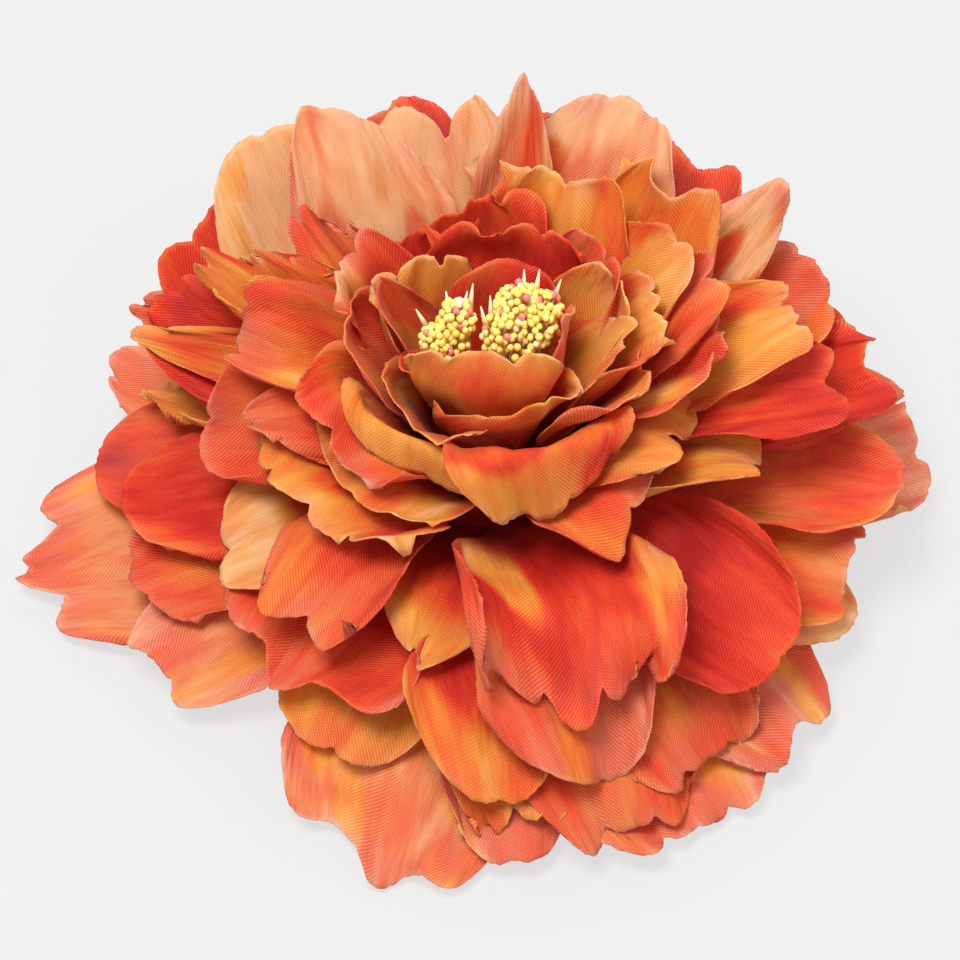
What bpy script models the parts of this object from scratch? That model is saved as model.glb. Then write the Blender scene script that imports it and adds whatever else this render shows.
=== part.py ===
"""Silk peony flower head, lying face up on its moulded calyx. Metres, +Z up, origin at the middle of the calyx foot."""
import math

import bmesh
import bpy
import numpy as np
from mathutils import Matrix, Vector

MM = 0.001

# Hub, in millimetres: the moulded calyx, its peg, and the stack of fabric layers threaded on the peg
CALYX_FOOT_RADIUS = 7.0
CALYX_TOP = 4.75
CALYX_RADIUS = 10.5
SEPAL_COUNT = 5
SEPAL_LENGTH = 13.0
SEPAL_WIDTH = 9.0
SEPAL_THICKNESS = 0.8
PEG_RADIUS = 2.2
HUB_GAP = 0.42
FIRST_LAYER_HEIGHT = 5.6
LAYER_PITCH = 1.25
RING_THICKNESS = 0.9
RING_RADII = (13.4, 12.7, 12.0, 11.2, 10.4, 9.5, 8.6, 7.6, 6.6, 5.5, 4.35)
RING_SIDES = 18
PEG_TOP = FIRST_LAYER_HEIGHT + LAYER_PITCH * (len(RING_RADII) - 1) + 1.2

# Petals, in millimetres
PETAL_THICKNESS = 0.72
ROOT_INSET = 0.45
ROOT_WIDTH = 4.2
ROOT_SHARE = 0.5
FLOOR_CLEARANCE = 0.45
ROW_LENGTH = 10.5
WIDEST_AT = 0.72
END_TAPER = 0.14

# Nesting: the room kept between petals of two layers and of one layer, middle to middle
PETAL_GAP = 2.0
MATE_GAP = 1.25
DEEPEST = 9.0
BESIDE = 1.9
FOLDED = -0.3
NEST_ROUNDS = 18
SAMPLES = 3

# Stamens, in millimetres: middle and radii of each clump, and the bead rows on them
STALK_RADIUS = 2.0
CLUMPS = (
    ((-5.2, 2.0, 45.0), (3.9, 4.6, 4.4)),
    ((5.3, 3.6, 46.0), (5.3, 5.4, 4.6)),
    ((5.6, -1.4, 42.6), (1.7, 1.7, 2.6)),
)
CLUMP_BEADS = (9, 15, 2)
BEAD_RADIUS = 1.0
SLIVERS = ((-8.6, 4.6, 47.0, 150), (-4.2, 5.6, 47.4, 110), (-2.2, 2.6, 47.6, 60), (5.2, 8.2, 48.4, 80), (8.4, 6.4, 48.4, 50))
SLIVER_LENGTH = 4.2
SLIVER_RADII = (0.75, 0.2)

# Columns across a petal, the share of its length that each reaches, and how far the petal rises before it folds over
FORMS = {
    "round": ((-1, -0.62, 0, 0.62, 1), (0.86, 0.97, 1.00, 0.97, 0.86), 1.0),
    "two": ((-1, -0.58, 0, 0.56, 1), (0.86, 1.00, 0.94, 0.98, 0.85), 1.0),
    "three": ((-1, -0.7, -0.36, 0, 0.36, 0.7, 1), (0.82, 0.95, 0.91, 1.00, 0.92, 0.96, 0.82), 1.0),
    "point": ((-1, -0.5, 0, 0.5, 1), (0.64, 0.88, 1.00, 0.86, 0.62), 1.0),
    "left": ((-1, -0.5, 0, 0.55, 1), (0.70, 0.87, 0.95, 1.00, 0.88), 1.0),
    "right": ((-1, -0.55, 0, 0.5, 1), (0.88, 1.00, 0.95, 0.87, 0.70), 1.0),
    "strap": ((-1, -0.6, 0, 0.6, 1), (0.88, 0.98, 1.00, 0.97, 0.88), 1.0),
    "flap": ((-1, -0.6, 0, 0.6, 1), (0.84, 0.97, 1.00, 0.96, 0.84), 1.8),
    "lobed": ((-1, -0.75, -0.4, 0, 0.35, 0.7, 1), (0.80, 0.90, 0.86, 0.98, 0.95, 1.00, 0.86), 1.0),
}
NARROW_COLUMNS = (-1, -0.33, 0.33, 1)

# One row a petal: turn about the axis, reach and height of the tip, width, rise at the root, slope at the tip,
# cup of the two sides, twist, form, wave and sway of the root
LAYERS = {
    "guard_petals": [
        (190, 71.5, 2, 35, 14, -14, 8, 8, 0, "three", 1.2, 0),
        (256, 68.5, 1, 38, 12, -18, 6, 10, 0, "lobed", 1.2, 0),
        (299, 67.5, 1, 38, 12, -16, 8, 8, 0, "two", 1.2, 0),
        (10, 68.5, 5, 36, 14, -6, 8, 8, 0, "two", 1.2, 0),
        (55, 67.0, 4, 42, 12, -12, 8, 8, 0, "two", 1.4, 0),
        (122, 67.0, 4, 44, 12, -12, 8, 8, 0, "two", 1.4, 0),
    ],
    "under_petals": [
        (213, 59.5, 2, 24, 18, -16, 8, 8, 0, "two", 1.0, 0),
        (274, 63.5, 2, 20, 16, -14, 8, 8, 0, "round", 1.0, 0),
        (318, 65.0, 3, 28, 18, -14, 8, 8, 0, "two", 1.2, 0),
        (337, 59.0, 5, 20, 18, -8, 8, 8, 0, "round", 1.0, 0),
        (30, 64.0, 8, 34, 20, -6, 8, 8, 0, "two", 1.4, 0),
        (88, 66.0, 6, 40, 18, -8, 8, 8, 0, "two", 1.4, 0),
        (152, 63.0, 8, 36, 20, -6, 8, 8, 0, "two", 1.4, 0),
    ],
    "skirt_petals": [
        (178, 58.5, 11, 24, 26, -8, 12, 12, 0, "round", 0.8, 0),
        (199, 55.0, 8, 26, 24, -10, 12, 12, 0, "round", 0.8, 0),
        (244, 51.5, 4, 28, 24, -22, 10, 10, 0, "round", 1.0, 0),
        (275, 60.5, 4, 22, 22, -16, 10, 10, 0, "two", 1.0, 0),
        (290, 65.5, 4, 30, 22, -16, 10, 10, 0, "two", 1.2, 0),
        (341, 59.5, 11, 30, 24, -8, 14, 14, 0, "two", 1.0, 0),
        (16, 61.0, 14, 28, 26, -2, 14, 14, 0, "two", 1.4, 0),
        (50, 59.0, 14, 36, 26, -4, 14, 14, 0, "two", 1.4, 0),
        (92, 59.0, 14, 38, 26, -4, 14, 14, 0, "two", 1.4, 0),
        (136, 58.0, 14, 38, 26, -4, 14, 14, 0, "two", 1.4, 0),
    ],
    "flounce_petals": [
        (189, 54.0, 12, 24, 30, -8, 16, 16, 0, "round", 0.8, 0),
        (232, 50.5, 12, 38, 32, -16, 20, 46, 0, "three", 1.4, 0),
        (272, 57.5, 8, 20, 30, -16, 14, 14, 0, "strap", 1.0, 0),
        (304, 61.5, 8, 30, 28, -12, 14, 14, 0, "two", 1.2, 0),
        (353, 63.0, 18, 24, 30, 0, 16, 16, 0, "round", 0.8, 0),
        (28, 59.0, 22, 30, 34, 6, 16, 16, 0, "two", 1.4, 0),
        (68, 57.0, 24, 38, 34, 8, 16, 16, 0, "two", 1.4, 0),
        (114, 57.0, 24, 40, 34, 8, 16, 16, 0, "two", 1.4, 0),
        (170, 53.5, 18, 16, 34, 0, 14, 14, 0, "point", 0.6, 0),
    ],
    "apron_petals": [
        (205, 46.0, 18, 24, 38, -10, 20, 20, -10, "left", 1.0, -4),
        (256, 43.0, 16, 18, 36, -22, 12, 40, 0, "left", 1.0, 0),
        (287, 57.5, 12, 26, 34, -14, 14, 14, 0, "round", 1.0, 0),
        (319, 57.0, 15, 34, 36, -6, 62, 66, 0, "strap", 1.0, 2),
        (9, 62.0, 24, 22, 36, 6, 20, 20, 0, "two", 1.0, 0),
        (24, 56.0, 31, 26, 40, 18, 18, 18, 0, "round", 1.2, 0),
        (52, 54.5, 37, 30, 42, 26, 18, 18, 0, "two", 1.2, 0),
        (82, 53.0, 37, 32, 42, 28, 18, 18, 0, "two", 1.2, 0),
        (112, 53.0, 39, 32, 42, 30, 18, 18, 0, "two", 1.2, 0),
        (143, 55.5, 36, 28, 42, 26, 18, 18, 0, "two", 1.2, 0),
        (162, 59.5, 26, 22, 38, 10, 18, 18, 0, "point", 1.0, 0),
    ],
    "rim_petals": [
        (231, 46.0, 21, 22, 44, -18, 14, 26, 4, "two", 1.6, 4),
        (285, 53.0, 18, 42, 42, -26, 58, 24, -6, "lobed", 2.0, -6),
        (345, 42.5, 34, 22, 46, -10, 24, 14, -12, "two", 1.2, -5),
        (2, 55.0, 29, 24, 40, 12, 22, 22, 0, "two", 1.0, 0),
        (33, 53.0, 47, 19, 46, 46, 30, 22, 16, "point", 0.8, 4),
        (63, 45.5, 51, 27, 48, 50, 22, 22, 0, "round", 1.2, 0),
        (99, 43.5, 50, 24, 48, 54, 16, 16, 0, "two", 0.8, 0),
        (133, 50.5, 47, 26, 46, 42, 16, 16, 0, "round", 0.8, 0),
        (157, 55.0, 31, 28, 40, 8, 26, 20, 8, "left", 1.0, 5),
        (167, 56.0, 23, 16, 38, 2, 18, 18, 0, "point", 0.8, 5),
    ],
    "outer_petals": [
        (186, 43.0, 28, 24, 46, -14, 20, 30, 10, "strap", 1.0, 4),
        (216, 36.0, 24, 38, 50, -32, 14, 26, 0, "right", 1.0, 0),
        (315, 33.5, 25, 24, 52, -36, 24, 16, -10, "strap", 1.8, 0),
        (13, 50.0, 38, 22, 46, 28, 20, 20, 0, "two", 1.2, 0),
        (44, 43.5, 49, 24, 50, 54, 20, 20, 0, "two", 1.0, 0),
        (82, 40.5, 57, 15, 52, 68, 30, 16, 12, "point", 0.6, 4),
        (120, 47.0, 53, 25, 50, 54, 14, 14, 0, "left", 0.8, 0),
        (155, 51.0, 36, 20, 48, 16, 20, 20, 0, "point", 1.4, 0),
    ],
    "middle_petals": [
        (188, 36.0, 34, 22, 54, -8, 20, 14, 8, "point", 1.0, 5),
        (226, 28.0, 27, 32, 60, -50, 14, 24, 0, "right", 1.0, 0),
        (343, 32.5, 33, 22, 56, -6, 20, 16, -10, "two", 1.2, -3),
        (4, 36.0, 42, 22, 54, 24, 20, 20, 0, "round", 1.2, 0),
        (21, 39.0, 44, 20, 54, 36, 20, 20, 0, "two", 1.2, 0),
        (34, 35.0, 47, 20, 56, 48, 20, 20, 0, "round", 0.8, 0),
        (66, 33.0, 51, 26, 56, 56, 20, 20, 0, "two", 1.2, 0),
        (96, 27.0, 49, 28, 58, 56, 20, 30, -6, "right", 1.4, -5),
        (138, 37.0, 46, 20, 56, 50, 20, 20, 0, "point", 1.2, 0),
        (153, 40.0, 44, 18, 54, 34, 20, 20, 0, "point", 1.2, 0),
        (169, 40.0, 39, 22, 54, 14, 20, 30, -8, "two", 1.4, -5),
    ],
    "inner_petals": [
        (206, 27.0, 34, 26, 70, -46, 12, 16, -8, "strap", 1.2, 4),
        (242, 20.0, 30, 32, 80, -64, 10, 10, -4, "flap", 1.0, 4),
        (297, 24.5, 28, 30, 80, -64, 12, 12, 4, "flap", 1.2, 2),
        (347, 26.0, 41, 22, 64, 16, 20, 20, 0, "round", 1.0, 0),
        (14, 28.0, 46, 24, 60, 46, 20, 20, 0, "two", 1.0, 0),
        (40, 26.0, 49, 22, 62, 58, 20, 20, 0, "two", 1.0, 0),
        (78, 23.0, 49, 28, 64, 62, 20, 24, 0, "round", 1.0, 0),
        (142, 27.0, 47, 20, 62, 52, 16, 16, 0, "two", 1.0, 0),
    ],
    "throat_petals": [
        (168, 23.0, 45, 24, 66, 40, 16, 16, 0, "round", 0.8, 0),
        (114, 17.5, 48, 32, 66, 66, 24, 24, 0, "left", 1.2, 0),
        (26, 22.5, 49, 20, 66, 56, 20, 20, 0, "round", 1.0, 0),
        (6, 21.5, 48, 18, 66, 50, 20, 20, 0, "point", 1.0, 0),
        (226, 13.5, 45, 26, 78, 40, 16, 16, 0, "two", 1.0, 0),
        (294, 13.5, 45, 28, 80, 40, 16, 16, 0, "round", 1.0, 0),
    ],
    "crown_petals": [
        (155, 19.5, 51, 17, 70, 66, 16, 16, 0, "point", 0.4, 0),
        (75, 15.0, 46, 22, 74, 74, 24, 24, 0, "round", 0.8, 0),
        (264, 6.0, 54, 27, 78, 106, 24, 24, 0, "strap", 0.6, 0),
        (352, 15.0, 50, 20, 72, 76, 22, 22, 0, "left", 0.6, 0),
        (208, 13.0, 44, 18, 76, 74, 20, 20, 0, "round", 0.8, 0),
    ],
}

# Colours, as the eye reads them on a screen, with roughness
LOOKS = {
    "guard_petals": ("#E3A084", 0.75),
    "under_petals": ("#E4987C", 0.75),
    "skirt_petals": ("#DF6A4E", 0.75),
    "flounce_petals": ("#D94A36", 0.75),
    "apron_petals": ("#CF4B3E", 0.75),
    "rim_petals": ("#E07A46", 0.75),
    "outer_petals": ("#E2804A", 0.75),
    "middle_petals": ("#DE6234", 0.75),
    "inner_petals": ("#E07834", 0.75),
    "throat_petals": ("#E06A3C", 0.75),
    "crown_petals": ("#DC5C38", 0.75),
    "stamen_cluster": ("#EBC54E", 0.5),
    "calyx": ("#5E7F3A", 0.55),
}

UP = np.array([0.0, 0.0, 1.0])


def linear(channel):
    """Linear value of one screen colour channel from 0 to 1."""
    return channel / 12.92 if channel <= 0.04045 else ((channel + 0.055) / 1.055) ** 2.4


def material(name):
    colour, roughness = LOOKS[name]
    made = bpy.data.materials.new(name)
    made.use_nodes = True
    shader = made.node_tree.nodes["Principled BSDF"]
    channels = [linear(int(colour[i : i + 2], 16) / 255) for i in (1, 3, 5)]
    shader.inputs["Base Color"].default_value = (*channels, 1.0)
    shader.inputs["Roughness"].default_value = roughness
    shader.inputs["Metallic"].default_value = 0.0
    return made


def unit(vectors):
    return vectors / np.maximum(np.linalg.norm(vectors, axis=-1, keepdims=True), 1e-9)


def leaning(turn, rise):
    """Direction at this turn about the axis and this angle above the horizon, in degrees."""
    a, b = math.radians(turn), math.radians(rise)
    return np.array([math.cos(a) * math.cos(b), math.sin(a) * math.cos(b), math.sin(b)])


def petal_point(controls, petal, root_width, phases, u, v):
    """A point of the petal: u from its right edge at -1 to its left at 1, v from its root at 0 to its tip at 1."""
    width, cup_right, cup_left, twist, wave = petal[3], petal[6], petal[7], petal[8], petal[10]
    p0, p1, p2, p3 = controls
    w = 1 - v
    centre = w**3 * p0 + 3 * w * w * v * p1 + 3 * w * v * v * p2 + v**3 * p3
    along = unit(3 * w * w * (p1 - p0) + 6 * w * v * (p2 - p1) + 3 * v * v * (p3 - p2))
    out = p3 - p0
    side = unit(np.array([-out[1], out[0], 0.0]))
    side = unit(side - along * (side @ along))
    inward = np.cross(along, side)
    turned = math.radians(twist) * v
    cosine, sine = math.cos(turned), math.sin(turned)
    side, inward = side * cosine + inward * sine, inward * cosine - side * sine
    grown = math.sin(min(1.0, v / WIDEST_AT) * math.pi / 2) ** 1.4
    spread = 0.5 * (root_width + (width - root_width) * grown)
    spread *= 1 - END_TAPER * max(0.0, (v - WIDEST_AT) / (1 - WIDEST_AT)) ** 2
    bend = math.radians(cup_left if u > 0 else cup_right) * min(1.0, v * 1.8)
    across, lift = u * spread, 0.0
    if abs(bend) > 0.02:
        across = math.sin(bend * u) / bend * spread
        lift = (1 - math.cos(bend * u)) / bend * spread
    ripple = wave * v**1.5 * (0.25 + 0.75 * abs(u)) * math.sin(1.3 * math.pi * u + phases[0] + 1.5 * v)
    ripple += 0.7 * wave * u * u * math.sin(2.2 * math.pi * v + phases[1]) * v
    point = centre + side * across + inward * (lift + ripple)
    point[2] = max(point[2], FLOOR_CLEARANCE)
    return point


def petal_cage(layer, petal, seed):
    """Points of one petal, rows from root to tip and columns across it."""
    turn, reach, height, width, rise, slope = petal[:6]
    phases = np.random.default_rng(seed).uniform(0, 2 * math.pi, 3)
    root_turn = turn - petal[11]
    root = leaning(root_turn, 0) * (RING_RADII[layer] - ROOT_INSET)
    root = root + UP * (FIRST_LAYER_HEIGHT + LAYER_PITCH * layer)
    tip = leaning(turn, 0) * reach + UP * height
    columns, shares, fold = FORMS[petal[9]]
    chord = np.linalg.norm(tip - root)
    pull = fold * chord * (0.36 + 0.15 * (1 - math.cos(math.radians(rise - slope))))
    controls = (root, root + leaning(root_turn, rise) * pull, tip - leaning(turn, slope) * pull, tip)
    root_width = min(ROOT_WIDTH, ROOT_SHARE * RING_RADII[layer])
    if width <= 24 and len(columns) == 7:
        columns, shares, fold = FORMS["two"]
    if width <= 13:
        shares = np.interp(NARROW_COLUMNS, columns, shares)
        columns = NARROW_COLUMNS
    length = (chord + 2 * pull + np.linalg.norm(controls[2] - controls[1])) / 2
    rows = int(np.clip(round(length / ROW_LENGTH) + 1, 4, 7))
    cage = np.zeros((rows, len(columns), 3))
    for j in range(rows):
        s = j / (rows - 1)
        for i, u in enumerate(columns):
            v = s * (1 + (shares[i] - 1) * s**0.5)
            cage[j, i] = petal_point(controls, petal, root_width, phases, u, v)
    return cage


def spreading(rows, columns):
    """Weights that carry a cage's points to samples all over the petal."""
    made = []
    for j in range((rows - 1) * SAMPLES + 1):
        for i in range((columns - 1) * SAMPLES + 1):
            a = min(j // SAMPLES, rows - 2)
            b = min(i // SAMPLES, columns - 2)
            y, x = j / SAMPLES - a, i / SAMPLES - b
            weights = np.zeros((rows, columns))
            weights[a, b] = (1 - y) * (1 - x)
            weights[a, b + 1] = (1 - y) * x
            weights[a + 1, b] = y * (1 - x)
            weights[a + 1, b + 1] = y * x
            made.append(weights.ravel())
    return np.array(made)


def facing(points, shape):
    """Normals of the samples, on the side that the petal cups toward, and which samples lie before its fold."""
    grid = points.reshape(*shape, 3)
    normals = unit(np.cross(np.gradient(grid, axis=0), np.gradient(grid, axis=1)))
    standing = normals @ normals[0, shape[1] // 2] > FOLDED
    return normals.reshape(-1, 3), standing.ravel()


def smoothed(moves):
    padded = np.pad(moves, ((1, 1), (1, 1), (0, 0)), mode="edge")
    around = padded[:-2, 1:-1] + padded[2:, 1:-1] + padded[1:-1, :-2] + padded[1:-1, 2:]
    return 0.6 * moves + 0.1 * around


def contact(one, other, sign, gap, distances, start, pushes, hits):
    """Adds the pushes that bring the samples of one petal to the right side of another."""
    points, _, _, key = one
    others, normals, standing, other_key = other
    near = distances.argmin(axis=1)
    step = points - others[near]
    height = (step * normals[near]).sum(axis=1) * sign
    aside = np.linalg.norm(step - normals[near] * (height * sign)[:, None], axis=1)
    hit = (height < gap) & (height > -DEEPEST) & (aside < BESIDE) & standing[near]
    hit[:start] = False
    if not hit.any():
        return
    push = normals[near[hit]] * (sign * 0.25 * (gap - height[hit]))[:, None]
    pushes[key][hit] += push
    hits[key][hit] += 1
    np.add.at(pushes[other_key], near[hit], -push)
    np.add.at(hits[other_key], near[hit], 1)


def nest(cages, layers):
    """Pushes crossing petals apart, each later petal to the inner side of the ones before it."""
    cages = [cage.copy() for cage in cages]
    weights = [spreading(*cage.shape[:2]) for cage in cages]
    shapes = [((c.shape[0] - 1) * SAMPLES + 1, (c.shape[1] - 1) * SAMPLES + 1) for c in cages]
    count = len(cages)
    for _ in range(NEST_ROUNDS):
        points = [w @ cage.reshape(-1, 3) for w, cage in zip(weights, cages)]
        sides = [(p, *facing(p, shape), k) for k, (p, shape) in enumerate(zip(points, shapes))]
        low = np.array([p.min(axis=0) for p in points]) - PETAL_GAP
        high = np.array([p.max(axis=0) for p in points]) + PETAL_GAP
        pushes = [np.zeros_like(p) for p in points]
        hits = [np.zeros(len(p)) for p in points]
        for a in range(count):
            for b in range(a + 1, count):
                if (low[a] > high[b]).any() or (low[b] > high[a]).any():
                    continue
                mates = layers[a] == layers[b]
                gap = MATE_GAP if mates else PETAL_GAP
                squares = (points[a] ** 2).sum(axis=1)[:, None] + (points[b] ** 2).sum(axis=1)[None, :]
                distances = squares - 2 * points[a] @ points[b].T
                for one, two, sign, table in ((b, a, 1.0, distances.T), (a, b, -1.0, distances)):
                    start = 2 * shapes[one][1]
                    contact(sides[one], sides[two], sign, gap, table, start, pushes, hits)
        for k in range(count):
            if not hits[k].any():
                continue
            moved = pushes[k] / np.sqrt(np.maximum(hits[k], 1))[:, None]
            touched = weights[k] * (hits[k] > 0)[:, None]
            moves = (touched.T @ moved) / np.maximum(touched.sum(axis=0), 0.6)[:, None] * 2.2
            moves = smoothed(moves.reshape(cages[k].shape))
            length = np.linalg.norm(moves, axis=-1, keepdims=True)
            moves *= np.minimum(1, 2.5 / np.maximum(length, 1e-6))
            moves[0] = 0
            moves[1] *= 0.7
            cages[k] = cages[k] + moves
            cages[k][..., 2] = np.maximum(cages[k][..., 2], FLOOR_CLEARANCE)
    return cages


def nested_petals():
    """Cages of every layer's petals, nested in each other."""
    cages, layers = [], []
    for layer, petals in enumerate(LAYERS.values()):
        for n, petal in enumerate(petals):
            cages.append(petal_cage(layer, petal, 100 * layer + n))
            layers.append(layer)
    cages = nest(cages, layers)
    return [[c for c, place in zip(cages, layers) if place == k] for k in range(len(LAYERS))]


def new_object(name, bm):
    mesh = bpy.data.meshes.new(name)
    bm.to_mesh(mesh)
    bm.free()
    made = bpy.data.objects.new(name, mesh)
    bpy.context.scene.collection.objects.link(made)
    return made


def applied(made):
    """Puts the object's modifiers into its mesh."""
    bpy.context.view_layer.update()
    graph = bpy.context.evaluated_depsgraph_get()
    mesh = bpy.data.meshes.new_from_object(made.evaluated_get(graph))
    made.modifiers.clear()
    made.data = mesh
    return made


def joined(body, pieces):
    """Fuses the pieces into the body, one by one."""
    for piece in pieces:
        union = body.modifiers.new("union", "BOOLEAN")
        union.operation = "UNION"
        union.solver = "EXACT"
        union.object = piece
        applied(body)
        bpy.data.objects.remove(piece)
    return body


def ring(layer):
    """The disc of one layer with the hole that the peg goes through."""
    height = (FIRST_LAYER_HEIGHT + LAYER_PITCH * layer) * MM
    hole = (PEG_RADIUS + HUB_GAP + 0.05) * MM
    bm = bmesh.new()
    half = 0.5 * RING_THICKNESS * MM
    outer = RING_RADII[layer] * MM
    profile = [(hole, -half), (outer, -half), (outer, half), (hole, half)]
    verts = [bm.verts.new((r, 0, height + z)) for r, z in profile]
    edges = [bm.edges.new((verts[k], verts[(k + 1) % 4])) for k in range(4)]
    bmesh.ops.spin(
        bm, geom=verts + edges, cent=(0, 0, 0), axis=(0, 0, 1), angle=2 * math.pi, steps=RING_SIDES, use_merge=True
    )
    bmesh.ops.remove_doubles(bm, verts=bm.verts, dist=1e-6)
    bmesh.ops.recalc_face_normals(bm, faces=bm.faces)
    return new_object("ring", bm)


def thickened(name, bm, thickness):
    """A closed solid from an open sheet, with both faces split into the same triangles."""
    bmesh.ops.triangulate(bm, faces=bm.faces, quad_method="SHORT_EDGE")
    made = new_object(name, bm)
    solidify = made.modifiers.new("thickness", "SOLIDIFY")
    solidify.thickness = thickness * MM
    solidify.offset = 0.0
    solidify.use_even_offset = True
    solidify.thickness_clamp = 1.0
    applied(made)
    bm = bmesh.new()
    bm.from_mesh(made.data)
    bmesh.ops.recalc_face_normals(bm, faces=bm.faces)
    bm.to_mesh(made.data)
    bm.free()
    return made


def petal_solid(cage):
    """One petal of the layer, through the points of its cage."""
    rows, columns = cage.shape[:2]
    bm = bmesh.new()
    bmesh.ops.create_grid(bm, x_segments=columns - 1, y_segments=rows - 1, size=1.0)
    for vert in bm.verts:
        i = round((vert.co.x + 1) / 2 * (columns - 1))
        j = round((vert.co.y + 1) / 2 * (rows - 1))
        vert.co = Vector(cage[j, i]) * MM
    return thickened("petal", bm, PETAL_THICKNESS)


def finished(made, name):
    made.name = name
    made.data.name = name
    made.data.materials.clear()
    made.data.materials.append(material(name))
    return made


def petal_layers():
    for layer, (name, cages) in enumerate(zip(LAYERS, nested_petals())):
        body = joined(ring(layer), [petal_solid(cage) for cage in cages])
        finished(body, name)


def lathe(name, profile, sides):
    """A closed solid turned about the axis from (radius, height) points in millimetres, bottom to top."""
    bm = bmesh.new()
    verts = [bm.verts.new((r * MM, 0, z * MM)) for r, z in profile]
    edges = [bm.edges.new((a, b)) for a, b in zip(verts, verts[1:])]
    bmesh.ops.spin(
        bm, geom=verts + edges, cent=(0, 0, 0), axis=(0, 0, 1), angle=2 * math.pi, steps=sides, use_merge=True
    )
    bmesh.ops.remove_doubles(bm, verts=bm.verts, dist=1e-6)
    bmesh.ops.recalc_face_normals(bm, faces=bm.faces)
    return new_object(name, bm)


def sepal(turn):
    """One leaf blade of the calyx, from its cup out under the guard petals."""
    rows = ((0.0, 0.7), (0.35, 1.0), (0.7, 0.72), (1.0, 0.12))
    bm = bmesh.new()
    bmesh.ops.create_grid(bm, x_segments=2, y_segments=len(rows) - 1, size=1.0)
    for vert in bm.verts:
        share, breadth = rows[round((vert.co.y + 1) / 2 * (len(rows) - 1))]
        across = round(vert.co.x) * breadth * SEPAL_WIDTH / 2
        outward = CALYX_RADIUS - 3.0 + SEPAL_LENGTH * share
        height = 3.1 + 1.1 * share + 0.9 * abs(across) / SEPAL_WIDTH
        vert.co = Vector((outward, across, height)) * MM
    bmesh.ops.rotate(bm, verts=bm.verts, cent=(0, 0, 0), matrix=Matrix.Rotation(math.radians(turn), 3, "Z"))
    return thickened("sepal", bm, SEPAL_THICKNESS)


def calyx():
    """The moulded foot: a shallow cup with a flat bottom, its sepals, and the peg that carries the layers."""
    profile = [
        (0, 0),
        (CALYX_FOOT_RADIUS, 0),
        (CALYX_FOOT_RADIUS + 1.6, 0.9),
        (CALYX_RADIUS - 0.4, 2.9),
        (CALYX_RADIUS, 4.1),
        (CALYX_RADIUS - 0.5, CALYX_TOP),
        (PEG_RADIUS, CALYX_TOP),
        (PEG_RADIUS, PEG_TOP - 0.6),
        (PEG_RADIUS - 0.5, PEG_TOP),
        (0, PEG_TOP),
    ]
    body = lathe("calyx", profile, 20)
    sepals = [sepal(18 + 360 / SEPAL_COUNT * k) for k in range(SEPAL_COUNT)]
    return finished(joined(body, sepals), "calyx")


def ball(centre, radii, subdivisions):
    bm = bmesh.new()
    bmesh.ops.create_icosphere(bm, subdivisions=subdivisions, radius=1.0)
    bmesh.ops.scale(bm, vec=Vector(radii) * MM, verts=bm.verts)
    bmesh.ops.translate(bm, vec=Vector(centre) * MM, verts=bm.verts)
    return new_object("ball", bm)


def clump_beads(centre, radii, count):
    """Beads spread evenly over the upper side of one clump."""
    made = []
    for k in range(count):
        height = 1 - 1.15 * (k + 0.5) / count
        level = math.sqrt(max(0.0, 1 - height * height))
        around = k * math.pi * (3 - math.sqrt(5))
        place = [
            centre[0] + radii[0] * level * math.cos(around),
            centre[1] + radii[1] * level * math.sin(around),
            centre[2] + radii[2] * height,
        ]
        made.append(ball(place, (BEAD_RADIUS,) * 3, 1))
    return made


def sliver(x, y, z, turn):
    """One pointed cream paper tip that stands among the beads."""
    lean = Vector((math.cos(math.radians(turn)), math.sin(math.radians(turn)), 2.2)).normalized()
    bm = bmesh.new()
    wide, narrow = SLIVER_RADII
    bmesh.ops.create_cone(
        bm, cap_ends=True, segments=5, radius1=wide * MM, radius2=narrow * MM, depth=SLIVER_LENGTH * MM
    )
    bmesh.ops.rotate(bm, verts=bm.verts, cent=(0, 0, 0), matrix=Vector((0, 0, 1)).rotation_difference(lean).to_matrix())
    bmesh.ops.translate(bm, vec=Vector((x, y, z)) * MM, verts=bm.verts)
    return new_object("sliver", bm)


def stalk(bottom, top, bottom_radius, top_radius):
    """A tapered bundle of stamen threads between two points."""
    a, b = Vector(bottom), Vector(top)
    bm = bmesh.new()
    bmesh.ops.create_cone(
        bm,
        cap_ends=True,
        segments=10,
        radius1=bottom_radius * MM,
        radius2=top_radius * MM,
        depth=(b - a).length * MM,
    )
    turn = Vector((0, 0, 1)).rotation_difference(b - a).to_matrix()
    bmesh.ops.rotate(bm, verts=bm.verts, cent=(0, 0, 0), matrix=turn)
    bmesh.ops.translate(bm, vec=(a + b) / 2 * MM, verts=bm.verts)
    return new_object("stalk", bm)


def stamens():
    """The beaded stamen clumps on their bundle of threads, which stands on the peg."""
    foot = (0, 0, PEG_TOP + HUB_GAP)
    fork = (0.0, 0.4, 32.0)
    body = stalk(foot, fork, STALK_RADIUS, STALK_RADIUS + 0.4)
    pieces = []
    for (centre, radii), count in zip(CLUMPS, CLUMP_BEADS):
        start = (fork[0] - 0.1 * centre[0] / 5, fork[1], fork[2] - 2.0)
        pieces.append(stalk(start, (centre[0], centre[1], centre[2] - 0.5), 1.6, 0.72 * min(radii)))
        pieces.append(ball(centre, radii, 2 if count > 5 else 1))
        pieces += clump_beads(centre, radii, count)
    pieces += [sliver(*place) for place in SLIVERS]
    return finished(joined(body, pieces), "stamen_cluster")


def build():
    for old in list(bpy.data.objects):
        bpy.data.objects.remove(old)
    calyx()
    petal_layers()
    stamens()


build()
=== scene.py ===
"""Silk peony flower head: dyed cloth petals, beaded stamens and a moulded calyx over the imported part."""
import math

import bmesh
import bpy
import numpy as np
from mathutils import Matrix, Vector


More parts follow.
